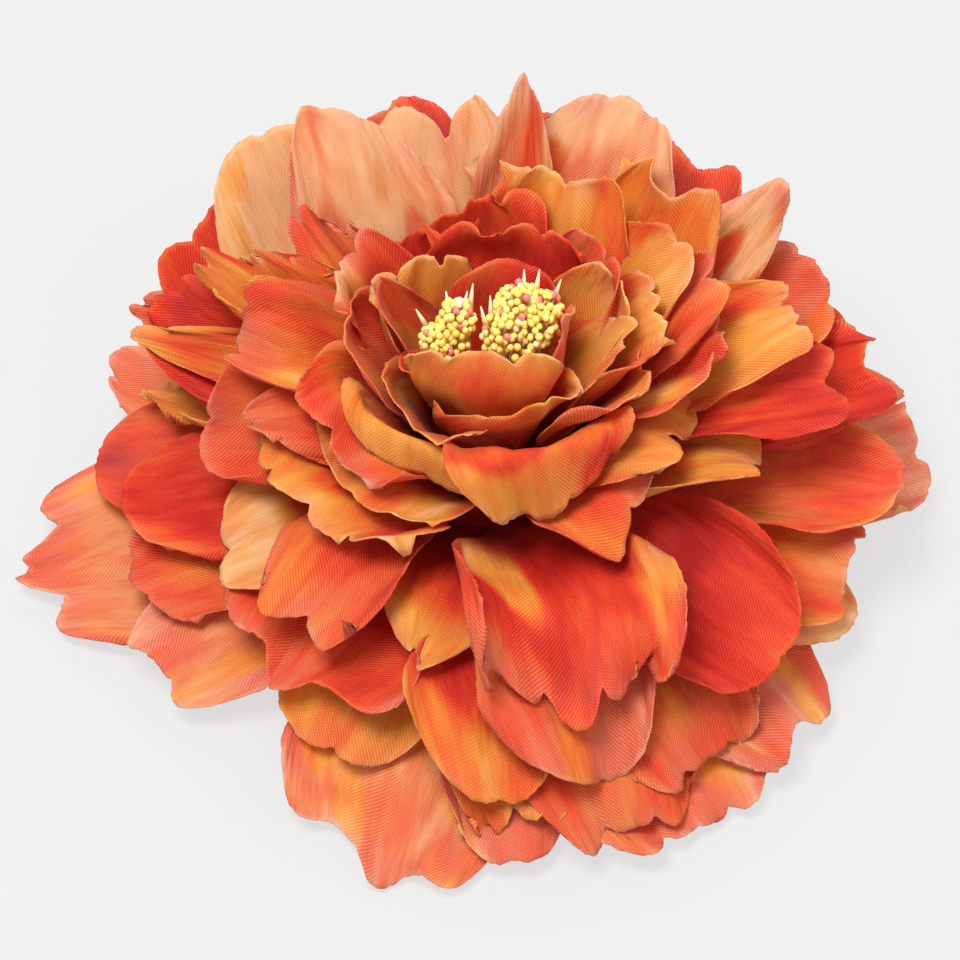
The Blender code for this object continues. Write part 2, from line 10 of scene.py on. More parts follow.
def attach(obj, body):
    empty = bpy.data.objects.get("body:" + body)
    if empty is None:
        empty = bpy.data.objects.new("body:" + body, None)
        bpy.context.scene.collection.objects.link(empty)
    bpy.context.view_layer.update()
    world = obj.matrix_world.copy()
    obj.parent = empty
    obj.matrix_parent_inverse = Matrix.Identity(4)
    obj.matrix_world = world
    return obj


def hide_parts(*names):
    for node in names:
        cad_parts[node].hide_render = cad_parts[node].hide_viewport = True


MM = 0.001
BODY = "root"

# Camera, in degrees and millimetres: the frame is 960 pixels of 0.151 mm wide, and its middle lies a little
# left of the peg and above it
ELEVATION = 55.0
DISTANCE = 900.0
FRAME_WIDTH = 145.0
SENSOR_WIDTH = 36.0
AIM_RIGHT = -0.75
AIM_UP = 6.0

# Hub, in millimetres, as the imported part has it: the calyx with its sepals, the peg, and the rings on it
CALYX_FOOT_RADIUS = 7.0
CALYX_TOP = 4.75
CALYX_RADIUS = 10.5
CALYX_SIDES = 64
SEPAL_COUNT = 5
SEPAL_LENGTH = 13.0
SEPAL_WIDTH = 9.0
SEPAL_THICKNESS = 0.6
SEPAL_INSET = 3.0
SEPAL_HEIGHT = 3.1
SEPAL_RISE = 1.1
SEPAL_CUP = 0.9
MIDRIB_DEPTH = 0.2
FIRST_SEPAL_TURN = 18.0
PEG_RADIUS = 2.2
HUB_GAP = 0.42
FIRST_LAYER_HEIGHT = 5.6
LAYER_PITCH = 1.25
RING_RADII = (13.4, 12.7, 12.0, 11.2, 10.4, 9.5, 8.6, 7.6, 6.6, 5.5, 4.35)
RING_SIDES = 48
PEG_TOP = FIRST_LAYER_HEIGHT + LAYER_PITCH * (len(RING_RADII) - 1) + 1.2

# Petals, in millimetres: how they leave the ring, where they are widest, how much narrower the end is; the
# thickness of the cloth, the size of its faces with their fewest and most along and across a petal, its
# height above the floor, and how far apart in the cloth the petals are cut
ROOT_INSET = 0.45
ROOT_WIDTH = 4.2
ROOT_SHARE = 0.5
FLOOR_CLEARANCE = 0.45
ROW_LENGTH = 10.5
WIDEST_AT = 0.72
END_TAPER = 0.14
CLOTH_THICKNESS = 0.2
CLOTH_CELL = 0.95
FEWEST_CELLS = (16, 12)
MOST_CELLS = (52, 46)
CLOTH_FLOOR = 0.3
CLOTH_STEP = (61.0, 83.0)

# Nesting, in millimetres: the room kept between petals of two layers and of one, middle to middle; how deep
# and how far aside a crossing is still mended; where a petal counts as folded over; rounds and samples
PETAL_GAP = 2.0
MATE_GAP = 1.25
DEEPEST = 9.0
BESIDE = 1.9
FOLDED = -0.3
NEST_ROUNDS = 18
SAMPLES = 3

# Stamens, in millimetres: middle and radii of each clump with its bead count, beads and threads, and each
# paper tip with the way it leans
CLUMPS = (
    ((-7.4, 1.0, 44.2), (2.0, 2.2, 2.6), 42),
    ((-4.2, 3.4, 46.0), (2.5, 3.0, 3.2), 62),
    ((-5.4, 2.0, 43.4), (2.6, 3.0, 3.0), 40),
    ((2.2, 1.6, 45.0), (2.4, 2.8, 3.4), 52),
    ((4.6, 4.8, 47.6), (3.2, 3.4, 3.0), 74),
    ((7.4, 2.4, 45.6), (2.8, 3.0, 3.6), 60),
    ((9.2, 5.0, 46.6), (2.0, 2.4, 2.4), 36),
    ((5.6, -1.4, 42.6), (1.5, 1.5, 2.4), 12),
)
BEAD_RADIUS = 0.55
BEAD_STRETCH = 1.2
BEAD_SHARES = (0.82, 0.12, 0.06)
BEADS_DOWN = 1.5
BEAD_SCATTER = 0.18
THREAD_RADIUS = 0.14
THREAD_SIDES = 6
GOLDEN_ANGLE = math.pi * (3 - math.sqrt(5))
TIPS = (
    (-9.2, 3.8, 45.8, 160),
    (-5.4, 5.2, 47.6, 110),
    (-3.0, 5.0, 48.0, 60),
    (-2.0, 6.4, 47.8, 75),
    (-0.2, 3.6, 46.2, 120),
    (0.8, 4.8, 47.0, 95),
    (5.6, 8.2, 48.8, 85),
    (7.6, 8.0, 49.2, 70),
    (10.4, 7.4, 47.8, 45),
    (5.0, 0.2, 45.8, 260),
)
TIP_LENGTH = 4.2
TIP_RADII = (0.55, 0.08)
TIP_RISE = 2.2
TIP_SIDES = 12

# Columns across a petal, the share of its length that each reaches, and how far the petal rises before it
# folds over
FORMS = {
    "round": ((-1, -0.62, 0, 0.62, 1), (0.86, 0.97, 1.00, 0.97, 0.86), 1.0),
    "two": ((-1, -0.58, 0, 0.56, 1), (0.86, 1.00, 0.94, 0.98, 0.85), 1.0),
    "three": ((-1, -0.7, -0.36, 0, 0.36, 0.7, 1), (0.82, 0.95, 0.91, 1.00, 0.92, 0.96, 0.82), 1.0),
    "point": ((-1, -0.5, 0, 0.5, 1), (0.64, 0.88, 1.00, 0.86, 0.62), 1.0),
    "left": ((-1, -0.5, 0, 0.55, 1), (0.70, 0.87, 0.95, 1.00, 0.88), 1.0),
    "right": ((-1, -0.55, 0, 0.5, 1), (0.88, 1.00, 0.95, 0.87, 0.70), 1.0),
    "strap": ((-1, -0.6, 0, 0.6, 1), (0.88, 0.98, 1.00, 0.97, 0.88), 1.0),
    "flap": ((-1, -0.6, 0, 0.6, 1), (0.84, 0.97, 1.00, 0.96, 0.84), 1.8),
    "lobed": ((-1, -0.75, -0.4, 0, 0.35, 0.7, 1), (0.80, 0.90, 0.86, 0.98, 0.95, 1.00, 0.86), 1.0),
}
NARROW_COLUMNS = (-1, -0.33, 0.33, 1)

# One row a petal: turn about the axis, reach and height of the tip, width, rise at the root, slope at the
# tip, cup of the two sides, twist, form, wave and sway of the root
LAYERS = {
    "guard_petals": [
        (190, 71.5, 2, 35, 14, -14, 8, 8, 0, "three", 1.2, 0),
        (256, 68.5, 1, 38, 12, -18, 6, 10, 0, "lobed", 1.2, 0),
        (299, 67.5, 1, 38, 12, -16, 8, 8, 0, "two", 1.2, 0),
        (10, 68.5, 5, 36, 14, -6, 8, 8, 0, "two", 1.2, 0),
        (55, 67.0, 4, 42, 12, -12, 8, 8, 0, "two", 1.4, 0),
        (122, 67.0, 4, 44, 12, -12, 8, 8, 0, "two", 1.4, 0),
    ],
    "under_petals": [
        (213, 59.5, 2, 24, 18, -16, 8, 8, 0, "two", 1.0, 0),
        (274, 63.5, 2, 20, 16, -14, 8, 8, 0, "round", 1.0, 0),
        (318, 65.0, 3, 28, 18, -14, 8, 8, 0, "two", 1.2, 0),
        (337, 59.0, 5, 20, 18, -8, 8, 8, 0, "round", 1.0, 0),
        (30, 64.0, 8, 34, 20, -6, 8, 8, 0, "two", 1.4, 0),
        (88, 66.0, 6, 40, 18, -8, 8, 8, 0, "two", 1.4, 0),
        (152, 63.0, 8, 36, 20, -6, 8, 8, 0, "two", 1.4, 0),
    ],
    "skirt_petals": [
        (178, 58.5, 11, 24, 26, -8, 12, 12, 0, "round", 0.8, 0),
        (199, 55.0, 8, 26, 24, -10, 12, 12, 0, "round", 0.8, 0),
        (244, 51.5, 4, 28, 24, -22, 10, 10, 0, "round", 1.0, 0),
        (275, 60.5, 4, 22, 22, -16, 10, 10, 0, "two", 1.0, 0),
        (290, 65.5, 4, 30, 22, -16, 10, 10, 0, "two", 1.2, 0),
        (341, 59.5, 11, 30, 24, -8, 14, 14, 0, "two", 1.0, 0),
        (16, 61.0, 14, 28, 26, -2, 14, 14, 0, "two", 1.4, 0),
        (50, 59.0, 14, 36, 26, -4, 14, 14, 0, "two", 1.4, 0),
        (92, 59.0, 14, 38, 26, -4, 14, 14, 0, "two", 1.4, 0),
        (136, 58.0, 14, 38, 26, -4, 14, 14, 0, "two", 1.4, 0),
    ],
    "flounce_petals": [
        (189, 54.0, 12, 24, 30, -8, 16, 16, 0, "round", 0.8, 0),
        (232, 50.5, 12, 38, 32, -16, 20, 46, 0, "three", 1.4, 0),
        (272, 57.5, 8, 20, 30, -16, 14, 14, 0, "strap", 1.0, 0),
        (304, 61.5, 8, 30, 28, -12, 14, 14, 0, "two", 1.2, 0),
        (353, 63.0, 18, 24, 30, 0, 16, 16, 0, "round", 0.8, 0),
        (28, 59.0, 22, 30, 34, 6, 16, 16, 0, "two", 1.4, 0),
        (68, 57.0, 24, 38, 34, 8, 16, 16, 0, "two", 1.4, 0),
        (114, 57.0, 24, 40, 34, 8, 16, 16, 0, "two", 1.4, 0),
        (170, 53.5, 18, 16, 34, 0, 14, 14, 0, "point", 0.6, 0),
    ],
    "apron_petals": [
        (205, 46.0, 18, 24, 38, -10, 20, 20, -10, "left", 1.0, -4),
        (256, 43.0, 16, 18, 36, -22, 12, 40, 0, "left", 1.0, 0),
        (287, 57.5, 12, 26, 34, -14, 14, 14, 0, "round", 1.0, 0),
        (319, 57.0, 15, 34, 36, -6, 62, 66, 0, "strap", 1.0, 2),
        (9, 62.0, 24, 22, 36, 6, 20, 20, 0, "two", 1.0, 0),
        (24, 56.0, 31, 26, 40, 18, 18, 18, 0, "round", 1.2, 0),
        (52, 54.5, 37, 30, 42, 26, 18, 18, 0, "two", 1.2, 0),
        (82, 53.0, 37, 32, 42, 28, 18, 18, 0, "two", 1.2, 0),
        (112, 53.0, 39, 32, 42, 30, 18, 18, 0, "two", 1.2, 0),
        (143, 55.5, 36, 28, 42, 26, 18, 18, 0, "two", 1.2, 0),
        (162, 59.5, 26, 22, 38, 10, 18, 18, 0, "point", 1.0, 0),
    ],
    "rim_petals": [
        (231, 46.0, 21, 22, 44, -18, 14, 26, 4, "two", 1.6, 4),
        (285, 53.0, 18, 42, 42, -26, 58, 24, -6, "lobed", 2.0, -6),
        (345, 42.5, 34, 22, 46, -10, 24, 14, -12, "two", 1.2, -5),
        (2, 55.0, 29, 24, 40, 12, 22, 22, 0, "two", 1.0, 0),
        (33, 53.0, 47, 19, 46, 46, 30, 22, 16, "point", 0.8, 4),
        (63, 45.5, 51, 27, 48, 50, 22, 22, 0, "round", 1.2, 0),
        (99, 43.5, 50, 24, 48, 54, 16, 16, 0, "two", 0.8, 0),
        (133, 50.5, 47, 26, 46, 42, 16, 16, 0, "round", 0.8, 0),
        (157, 55.0, 31, 28, 40, 8, 26, 20, 8, "left", 1.0, 5),
        (167, 56.0, 23, 16, 38, 2, 18, 18, 0, "point", 0.8, 5),
    ],
    "outer_petals": [
        (186, 43.0, 28, 24, 46, -14, 20, 30, 10, "strap", 1.0, 4),
        (216, 36.0, 24, 38, 50, -32, 14, 26, 0, "right", 1.0, 0),
        (315, 33.5, 25, 24, 52, -36, 24, 16, -10, "strap", 1.8, 0),
        (13, 50.0, 38, 22, 46, 28, 20, 20, 0, "two", 1.2, 0),
        (44, 43.5, 49, 24, 50, 54, 20, 20, 0, "two", 1.0, 0),
        (82, 40.5, 57, 15, 52, 68, 30, 16, 12, "point", 0.6, 4),
        (120, 47.0, 53, 25, 50, 54, 14, 14, 0, "left", 0.8, 0),
        (155, 51.0, 36, 20, 48, 16, 20, 20, 0, "point", 1.4, 0),
    ],
    "middle_petals": [
        (188, 36.0, 34, 22, 54, -8, 20, 14, 8, "point", 1.0, 5),
        (226, 28.0, 27, 32, 60, -50, 14, 24, 0, "right", 1.0, 0),
        (343, 32.5, 33, 22, 56, -6, 20, 16, -10, "two", 1.2, -3),
        (4, 36.0, 42, 22, 54, 24, 20, 20, 0, "round", 1.2, 0),
        (21, 39.0, 44, 20, 54, 36, 20, 20, 0, "two", 1.2, 0),
        (34, 35.0, 47, 20, 56, 48, 20, 20, 0, "round", 0.8, 0),
        (66, 33.0, 51, 26, 56, 56, 20, 20, 0, "two", 1.2, 0),
        (96, 27.0, 49, 28, 58, 56, 20, 30, -6, "right", 1.4, -5),
        (138, 37.0, 46, 20, 56, 50, 20, 20, 0, "point", 1.2, 0),
        (153, 40.0, 44, 18, 54, 34, 20, 20, 0, "point", 1.2, 0),
        (169, 40.0, 39, 22, 54, 14, 20, 30, -8, "two", 1.4, -5),
    ],
    "inner_petals": [
        (206, 27.0, 34, 26, 70, -46, 12, 16, -8, "strap", 1.2, 4),
        (242, 20.0, 30, 32, 80, -64, 10, 10, -4, "flap", 1.0, 4),
        (297, 24.5, 28, 30, 80, -64, 12, 12, 4, "flap", 1.2, 2),
        (347, 26.0, 41, 22, 64, 16, 20, 20, 0, "round", 1.0, 0),
        (14, 28.0, 46, 24, 60, 46, 20, 20, 0, "two", 1.0, 0),
        (40, 26.0, 49, 22, 62, 58, 20, 20, 0, "two", 1.0, 0),
        (78, 23.0, 49, 28, 64, 62, 20, 24, 0, "round", 1.0, 0),
        (142, 27.0, 47, 20, 62, 52, 16, 16, 0, "two", 1.0, 0),
    ],
    "throat_petals": [
        (168, 23.0, 45, 24, 66, 40, 16, 16, 0, "round", 0.8, 0),
        (114, 17.5, 48, 32, 66, 66, 24, 24, 0, "left", 1.2, 0),
        (26, 22.5, 49, 20, 66, 56, 20, 20, 0, "round", 1.0, 0),
        (6, 21.5, 48, 18, 66, 50, 20, 20, 0, "point", 1.0, 0),
        (226, 13.5, 45, 26, 78, 40, 16, 16, 0, "two", 1.0, 0),
        (294, 13.5, 45, 28, 80, 40, 16, 16, 0, "round", 1.0, 0),
    ],
    "crown_petals": [
        (155, 19.5, 51, 17, 70, 66, 16, 16, 0, "point", 0.4, 0),
        (75, 15.0, 46, 22, 74, 74, 24, 24, 0, "round", 0.8, 0),
        (264, 6.0, 54, 27, 78, 106, 24, 24, 0, "strap", 0.6, 0),
        (352, 15.0, 50, 20, 72, 76, 22, 22, 0, "left", 0.6, 0),
        (208, 13.0, 44, 18, 76, 74, 20, 20, 0, "round", 0.8, 0),
    ],
}

# Dye tones: place on the warm or the pink ramp from dark at 0 to pale at 1, and the share of pink
TONES = {
    # painted shade in part: the darkest tone, at roots deep among the petals, stands partly for the shade in
    # the crevices there
    "dark": (0.12, 0.0),
    "red": (0.22, 0.0),
    "scarlet": (0.38, 0.1),
    "orange": (0.56, 0.0),
    "amber": (0.78, 0.0),
    "peach": (0.96, 0.15),
    "cream": (1.0, 0.5),
    "dusty": (0.78, 0.6),
    "coral": (0.47, 0.40),
    "rose": (0.68, 0.85),
    # painted shade in part: this dim pink is the colour of pale petals' backs seen in shadow, given as their
    # tone
    "mauve": (0.24, 0.95),
}

# Dyes of a petal: root, middle and end tone, the tone of its streaks and how much they cover, and how
# strongly its rim is dipped in rose. A dark root is partly real dye and partly painted shade of the
# crevices.
DYES = {
    # painted shade: the darker coral root stands for the shade on the outer petals close to the flower
    "peach_rose": ("coral", "dusty", "dusty", "amber", 0.25, 1.0),
    "rose": ("amber", "peach", "rose", "amber", 0.30, 0.7),
    "amber_peach": ("orange", "amber", "peach", "orange", 0.25, 0.4),
    # painted shade in part: this dye's middle and end copy pale petals' backs in shadow
    "mauve": ("red", "mauve", "mauve", "coral", 0.45, 0.5),
    "red": ("dark", "red", "red", "scarlet", 0.40, 0.4),
    "coral_orange": ("red", "orange", "coral", "amber", 0.40, 0.6),
    "amber": ("orange", "amber", "amber", "orange", 0.40, 0.4),
    "red_amber": ("red", "red", "amber", "orange", 0.40, 0.3),
    "amber_coral": ("red", "amber", "coral", "orange", 0.35, 0.6),
    "coral": ("red", "coral", "coral", "orange", 0.45, 0.6),
    "dark_red": ("dark", "dark", "red", "red", 0.40, 0.3),
    "red_coral": ("dark", "red", "coral", "amber", 0.30, 0.7),
    "orange": ("red", "orange", "orange", "amber", 0.45, 0.4),
    "orange_peach": ("red", "orange", "peach", "amber", 0.40, 0.4),
    "orange_coral": ("red", "orange", "coral", "amber", 0.35, 0.6),
    "peach": ("peach", "cream", "cream", "peach", 0.30, 0.3),
    "peach_coral": ("peach", "cream", "cream", "rose", 0.20, 0.6),
    "orange_amber": ("red", "orange", "amber", "scarlet", 0.30, 0.4),
    "coral_rose": ("red", "coral", "rose", "orange", 0.35, 0.5),
    "pale_rose": ("coral", "rose", "cream", "coral", 0.15, 0.4),
    "red_rimmed": ("dark", "red", "scarlet", "coral", 0.20, 0.9),
}

# Rims, in millimetres: width of a lobe, depth and width of the notches between lobes, how far the sides of
# a lobe fall back, and how far the lobes stand off each other
RIMS = {
    "smooth": (60.0, 0.0, 1.0, 0.0, 0.0),
    "wavy": (14.0, 0.4, 1.2, 0.7, 0.8),
    "lobed": (12.0, 0.9, 1.2, 1.3, 1.3),
    "ragged": (9.0, 1.3, 1.0, 1.0, 1.6),
    "split": (17.0, 2.4, 1.3, 2.2, 1.6),
    "torn": (10.0, 2.8, 1.4, 1.5, 2.2),
    "folded": (12.0, 1.8, 1.6, 1.8, 3.4),
}

# Edge of a petal: the share of its half width over which its corners are rounded, fraying of the end in
# millimetres, and sway and fraying of the sides in parts of the width
CORNER_SHARE = 0.6
FRAYING = 0.1
SIDE_SWAY = 0.03
SIDE_FRAYING = 0.01

# Relief of a petal at a ruffle of 1: heights in millimetres of its broad waves, fine waves, folds and fluted
# rim, each with its shortest and longest wave in millimetres and its number of waves
BROAD_HEIGHT = 0.7
BROAD_WAVES = (10, 24, 5)
FINE_HEIGHT = 0.15
FINE_WAVES = (5, 11, 5)
FOLD_HEIGHT = 0.65
FOLD_WAVES = (9, 20, 4)
FLUTE_HEIGHT = 1.1
FLUTE_WAVES = (11, 24, 3)

# Where along a petal the curl of its end starts and how unevenly it curls, and where across it its sides
# start to roll
CURL_START = 0.76
CURL_UNEVEN = 0.35
ROLL_START = 0.72

# One row a petal: dye, rim, curl of the end, roll of the low-turn and the high-turn side in degrees, ruffle
LOOKS = {
    "guard_petals": [
        ("peach_rose", "lobed", 8, 0, 0, 0.8),
        ("peach_rose", "wavy", -8, 10, 0, 0.8),
        ("rose", "lobed", 8, 0, 10, 0.8),
        ("rose", "lobed", 20, 10, 0, 0.8),
        ("peach_rose", "ragged", -10, 0, 20, 0.8),
        ("peach_rose", "wavy", -10, 20, 0, 0.8),
    ],
    "under_petals": [
        ("peach_rose", "wavy", 10, 10, 0, 0.6),
        ("rose", "wavy", 0, 0, 0, 0.6),
        ("rose", "wavy", 10, 15, 0, 0.6),
        ("amber_peach", "smooth", 0, 0, 20, 0.7),
        ("rose", "lobed", 20, 0, -15, 0.8),
        ("peach_rose", "lobed", 0, -15, 0, 0.8),
        ("peach_rose", "ragged", 0, 20, 0, 0.8),
    ],
    "skirt_petals": [
        ("mauve", "smooth", 10, 10, 0, 0.7),
        ("coral_orange", "wavy", 10, 0, 15, 0.7),
        ("amber", "lobed", -10, -10, 20, 0.9),
        ("red_amber", "ragged", -15, 10, -10, 0.9),
        ("amber_coral", "lobed", -15, 0, 15, 0.9),
        ("coral_orange", "wavy", 15, 0, 0, 0.8),
        ("coral", "wavy", 25, 0, 30, 0.9),
        ("coral_orange", "lobed", -20, 30, 0, 0.9),
        ("coral", "wavy", 10, 0, 25, 0.9),
        ("amber_coral", "ragged", 20, 0, -20, 0.9),
    ],
    "flounce_petals": [
        ("red", "smooth", 20, -10, 15, 0.6),
        ("red_rimmed", "wavy", 15, -15, 100, 0.7),
        ("red_amber", "wavy", -10, 0, -10, 0.9),
        ("coral", "lobed", -25, -20, 0, 0.8),
        ("coral", "wavy", 20, 20, 0, 0.9),
        ("coral", "wavy", 25, 0, 30, 0.9),
        ("coral_orange", "lobed", 0, 25, 0, 0.9),
        ("red_coral", "ragged", 20, 0, -20, 0.9),
        ("amber", "torn", 20, 20, 0, 0.9),
    ],
    "apron_petals": [
        ("orange_peach", "lobed", -25, -20, 30, 0.7),
        ("orange_amber", "lobed", -20, 30, 50, 1.0),
        ("coral_rose", "wavy", -15, 25, 25, 0.9),
        ("dark_red", "wavy", 15, 15, 20, 0.6),
        ("dark_red", "wavy", 25, -20, 40, 0.9),
        ("coral_rose", "wavy", 20, 0, 20, 0.9),
        ("mauve", "wavy", -15, 20, 0, 0.9),
        ("mauve", "lobed", 25, 0, -20, 0.9),
        ("mauve", "wavy", 25, 20, 0, 0.9),
        ("red", "lobed", 15, 20, -20, 0.7),
        ("red_coral", "ragged", 15, -15, 25, 0.8),
    ],
    "rim_petals": [
        ("coral", "lobed", -10, 0, 25, 1.0),
        # painted shade: this petal's dark root and red middle stand in for the shadow under the flap above
        # it
        ("red_coral", "folded", -20, 80, 35, 1.9),
        ("amber", "lobed", -25, 20, -20, 1.0),
        ("red", "wavy", 20, 35, -15, 1.0),
        ("pale_rose", "wavy", 0, 30, 30, 0.8),
        ("pale_rose", "wavy", -20, 20, 0, 0.9),
        ("peach", "split", -15, 15, 15, 0.8),
        ("peach", "wavy", -20, -15, 25, 0.5),
        ("red", "ragged", -10, 25, 25, 0.8),
        ("orange", "ragged", 20, -10, 25, 0.8),
    ],
    "outer_petals": [
        ("coral", "lobed", 15, 30, 50, 1.0),
        ("orange_amber", "lobed", 10, -10, 20, 1.0),
        ("coral", "ragged", -30, 45, 40, 1.1),
        ("amber", "ragged", 20, 30, -20, 1.1),
        ("amber", "lobed", 25, -15, 20, 0.9),
        ("pale_rose", "wavy", -15, 25, 30, 0.7),
        ("peach_coral", "wavy", -15, 20, 20, 0.8),
        ("orange_amber", "torn", 25, -20, 20, 1.2),
    ],
    "middle_petals": [
        ("coral", "ragged", -20, 60, 25, 1.1),
        ("amber", "wavy", 15, 0, 20, 0.9),
        ("orange", "ragged", -20, 0, 30, 1.1),
        ("red_coral", "ragged", 25, 35, -20, 1.2),
        ("coral", "lobed", -25, -20, 30, 1.2),
        ("amber", "lobed", 20, 25, 0, 1.1),
        ("red_amber", "lobed", 30, -20, 25, 1.2),
        ("red", "ragged", 30, 30, 20, 1.2),
        ("orange_coral", "torn", -25, 20, 0, 1.2),
        ("orange", "torn", 20, -15, 25, 1.1),
        ("orange_coral", "ragged", -20, 25, 35, 1.2),
    ],
    "inner_petals": [
        ("coral_orange", "lobed", 30, 50, 60, 1.1),
        ("amber", "wavy", -5, 15, 10, 0.9),
        ("orange_amber", "wavy", -15, 10, 10, 1.0),
        ("coral_orange", "ragged", 30, -20, 60, 1.1),
        ("orange_amber", "ragged", -25, 25, -20, 1.2),
        ("orange_coral", "lobed", 30, 20, 25, 1.2),
        ("red", "ragged", 25, -20, 30, 1.2),
        ("orange_coral", "ragged", -25, 30, 25, 1.2),
    ],
    "throat_petals": [
        ("coral", "wavy", 25, 25, -20, 1.0),
        ("orange_amber", "ragged", 30, -20, 30, 1.2),
        ("orange_amber", "lobed", 20, 25, 30, 1.1),
        ("orange_amber", "ragged", -25, -20, 25, 1.1),
        ("orange", "wavy", -20, 25, 30, 0.9),
        ("orange", "wavy", 20, 30, 25, 0.9),
    ],
    "crown_petals": [
        ("coral_orange", "wavy", 15, 0, 20, 0.7),
        ("red", "wavy", -10, 20, 0, 0.7),
        ("amber", "ragged", 20, -20, 25, 0.7),
        ("coral_orange", "lobed", 20, 25, 0, 0.9),
        ("red", "ragged", -15, 0, 20, 0.9),
    ],
}

# Ramps of the dye baths, from dark to pale; the darkest stops serve partly as painted shade deep in the
# flower
WARM_DYES = (
    (0.0, "#B2120A"),
    (0.2, "#D41A0E"),
    (0.38, "#E4300C"),
    (0.56, "#E8640A"),
    (0.74, "#E8900E"),
    (0.88, "#EEA834"),
    (1.0, "#F1C680"),
)
PINK_DYES = (
    (0.0, "#94141C"),
    (0.2, "#B8303A"),
    (0.44, "#E44024"),
    (0.74, "#DE6850"),
    (1.0, "#EAB092"),
)

# Bath of a petal: where along it the middle and the end tone start and how far they take to set in, and the
# drift of these borders, of the streaks and of the tone, each by shortest and longest wave in millimetres
# and number of waves
MIDDLE_START = (0.12, 0.45)
END_START = (0.6, 0.3)
BORDER_WAVES = (14, 40, 4)
STREAK_WAVES = (8, 20, 5)
TONE_WAVES = (10, 26, 4)
DYE_SEEDS = 50000

# Rose dip of the rims: the tone it turns to, how much of it, the millimetres over which it fades, and its
# drift; the cut edge itself is paler by EDGE_PALE over EDGE_REACH millimetres
ROSE_TONE = 0.7
ROSE_SHARE = 0.7
ROSE_REACH = 4.4
ROSE_WAVES = (8, 20, 3)
EDGE_PALE = 0.15
EDGE_REACH = 0.6

# Weave, in millimetres: its ribs stand about as far apart as the finest in the photograph, run at two turns
# in degrees, and come and go over WORN_PATCH; painted shade between the ribs and slight painted light on
# them, strength and colour of the painted highlight on the ribs, and heights of the weave and the creases in
# parts of BUMP_DEPTH
THREAD_SPACING = 0.36
RIB_TURNS = (35, 125)
WORN_PATCH = 0.7
WEAVE_SHADES = (0.82, 1.04)
PAINTED_THREAD_HIGHLIGHT = 0.5
PAINTED_HIGHLIGHT_COLOUR = "#FCCC94"
BUMP_DEPTH = 0.35
WEAVE_HEIGHT = 0.12
CREASE_HEIGHT = 4.0

# Dye: strength of its streaks and clouds, sizes of these and of the creases across and along the petal in
# millimetres, the share of light let through the cloth, and its faint sheen
STREAKS = 0.5
CLOUDS = 0.4
STREAK_SIZE = (2.4, 11.0)
CLOUD_SIZE = (6.0, 9.0)
CREASE_SIZE = (3.0, 13.0)
LIGHT_THROUGH = 0.46
CLOTH_FINISH = {"Roughness": 0.62, "Specular IOR Level": 0.2, "Sheen Weight": 0.05, "Sheen Roughness": 0.5}

# Plain finishes: colour, roughness, colour and size in millimetres of its drift, and coat. Lacquer dries as
# a smooth coat, so the beads have small bright glints. Cotton thread and paper scatter light and stay matt.
# Moulded polythene is half matt, with a soft wide highlight.
FINISHES = {
    "yellow_lacquer": ("#F6DE78", 0.3, "#EEC450", 2.0, 0.4),
    "pink_lacquer": ("#EE8378", 0.3, "#D95F5C", 2.0, 0.4),
    "cream_lacquer": ("#F2E2B8", 0.35, "#E4CB90", 2.0, 0.3),
    "cotton_thread": ("#E9CF8C", 0.6, "#C99A50", 3.0, 0.0),
    "rolled_paper": ("#F0DDB4", 0.7, "#E3B98A", 3.0, 0.0),
    "moulded_polythene": ("#5E7F3A", 0.5, "#47662B", 4.0, 0.0),
}

# Light: the pale card, how bright it glows, what share of it takes shadow, the even light of the room, the
# height in metres that the lamps aim at, and name, place and size in metres and watts of each lamp
BACKDROP = "#F0F0F0"
FLOOR_GLOW = 0.87
FLOOR_SHADOW = 0.12
FLOOR_SIZE = 2.5
WORLD_LIGHT = 0.62
AIM_HEIGHT = 0.03
LIGHTS = (
    ("key", (-0.2, -0.1, 0.85), 0.35, 9.4),
    ("fill", (0.6, -0.4, 0.5), 0.8, 3.0),
    ("back", (0.1, 0.7, 0.5), 0.5, 3.0),
)

UP = np.array([0.0, 0.0, 1.0])


def unit(vectors):
    return vectors / np.maximum(np.linalg.norm(vectors, axis=-1, keepdims=True), 1e-9)


def leaning(turn, rise):
    """Direction at this turn about the axis and this angle above the horizon, in degrees."""
    a, b = math.radians(turn), math.radians(rise)
    return np.array([math.cos(a) * math.cos(b), math.sin(a) * math.cos(b), math.sin(b)])


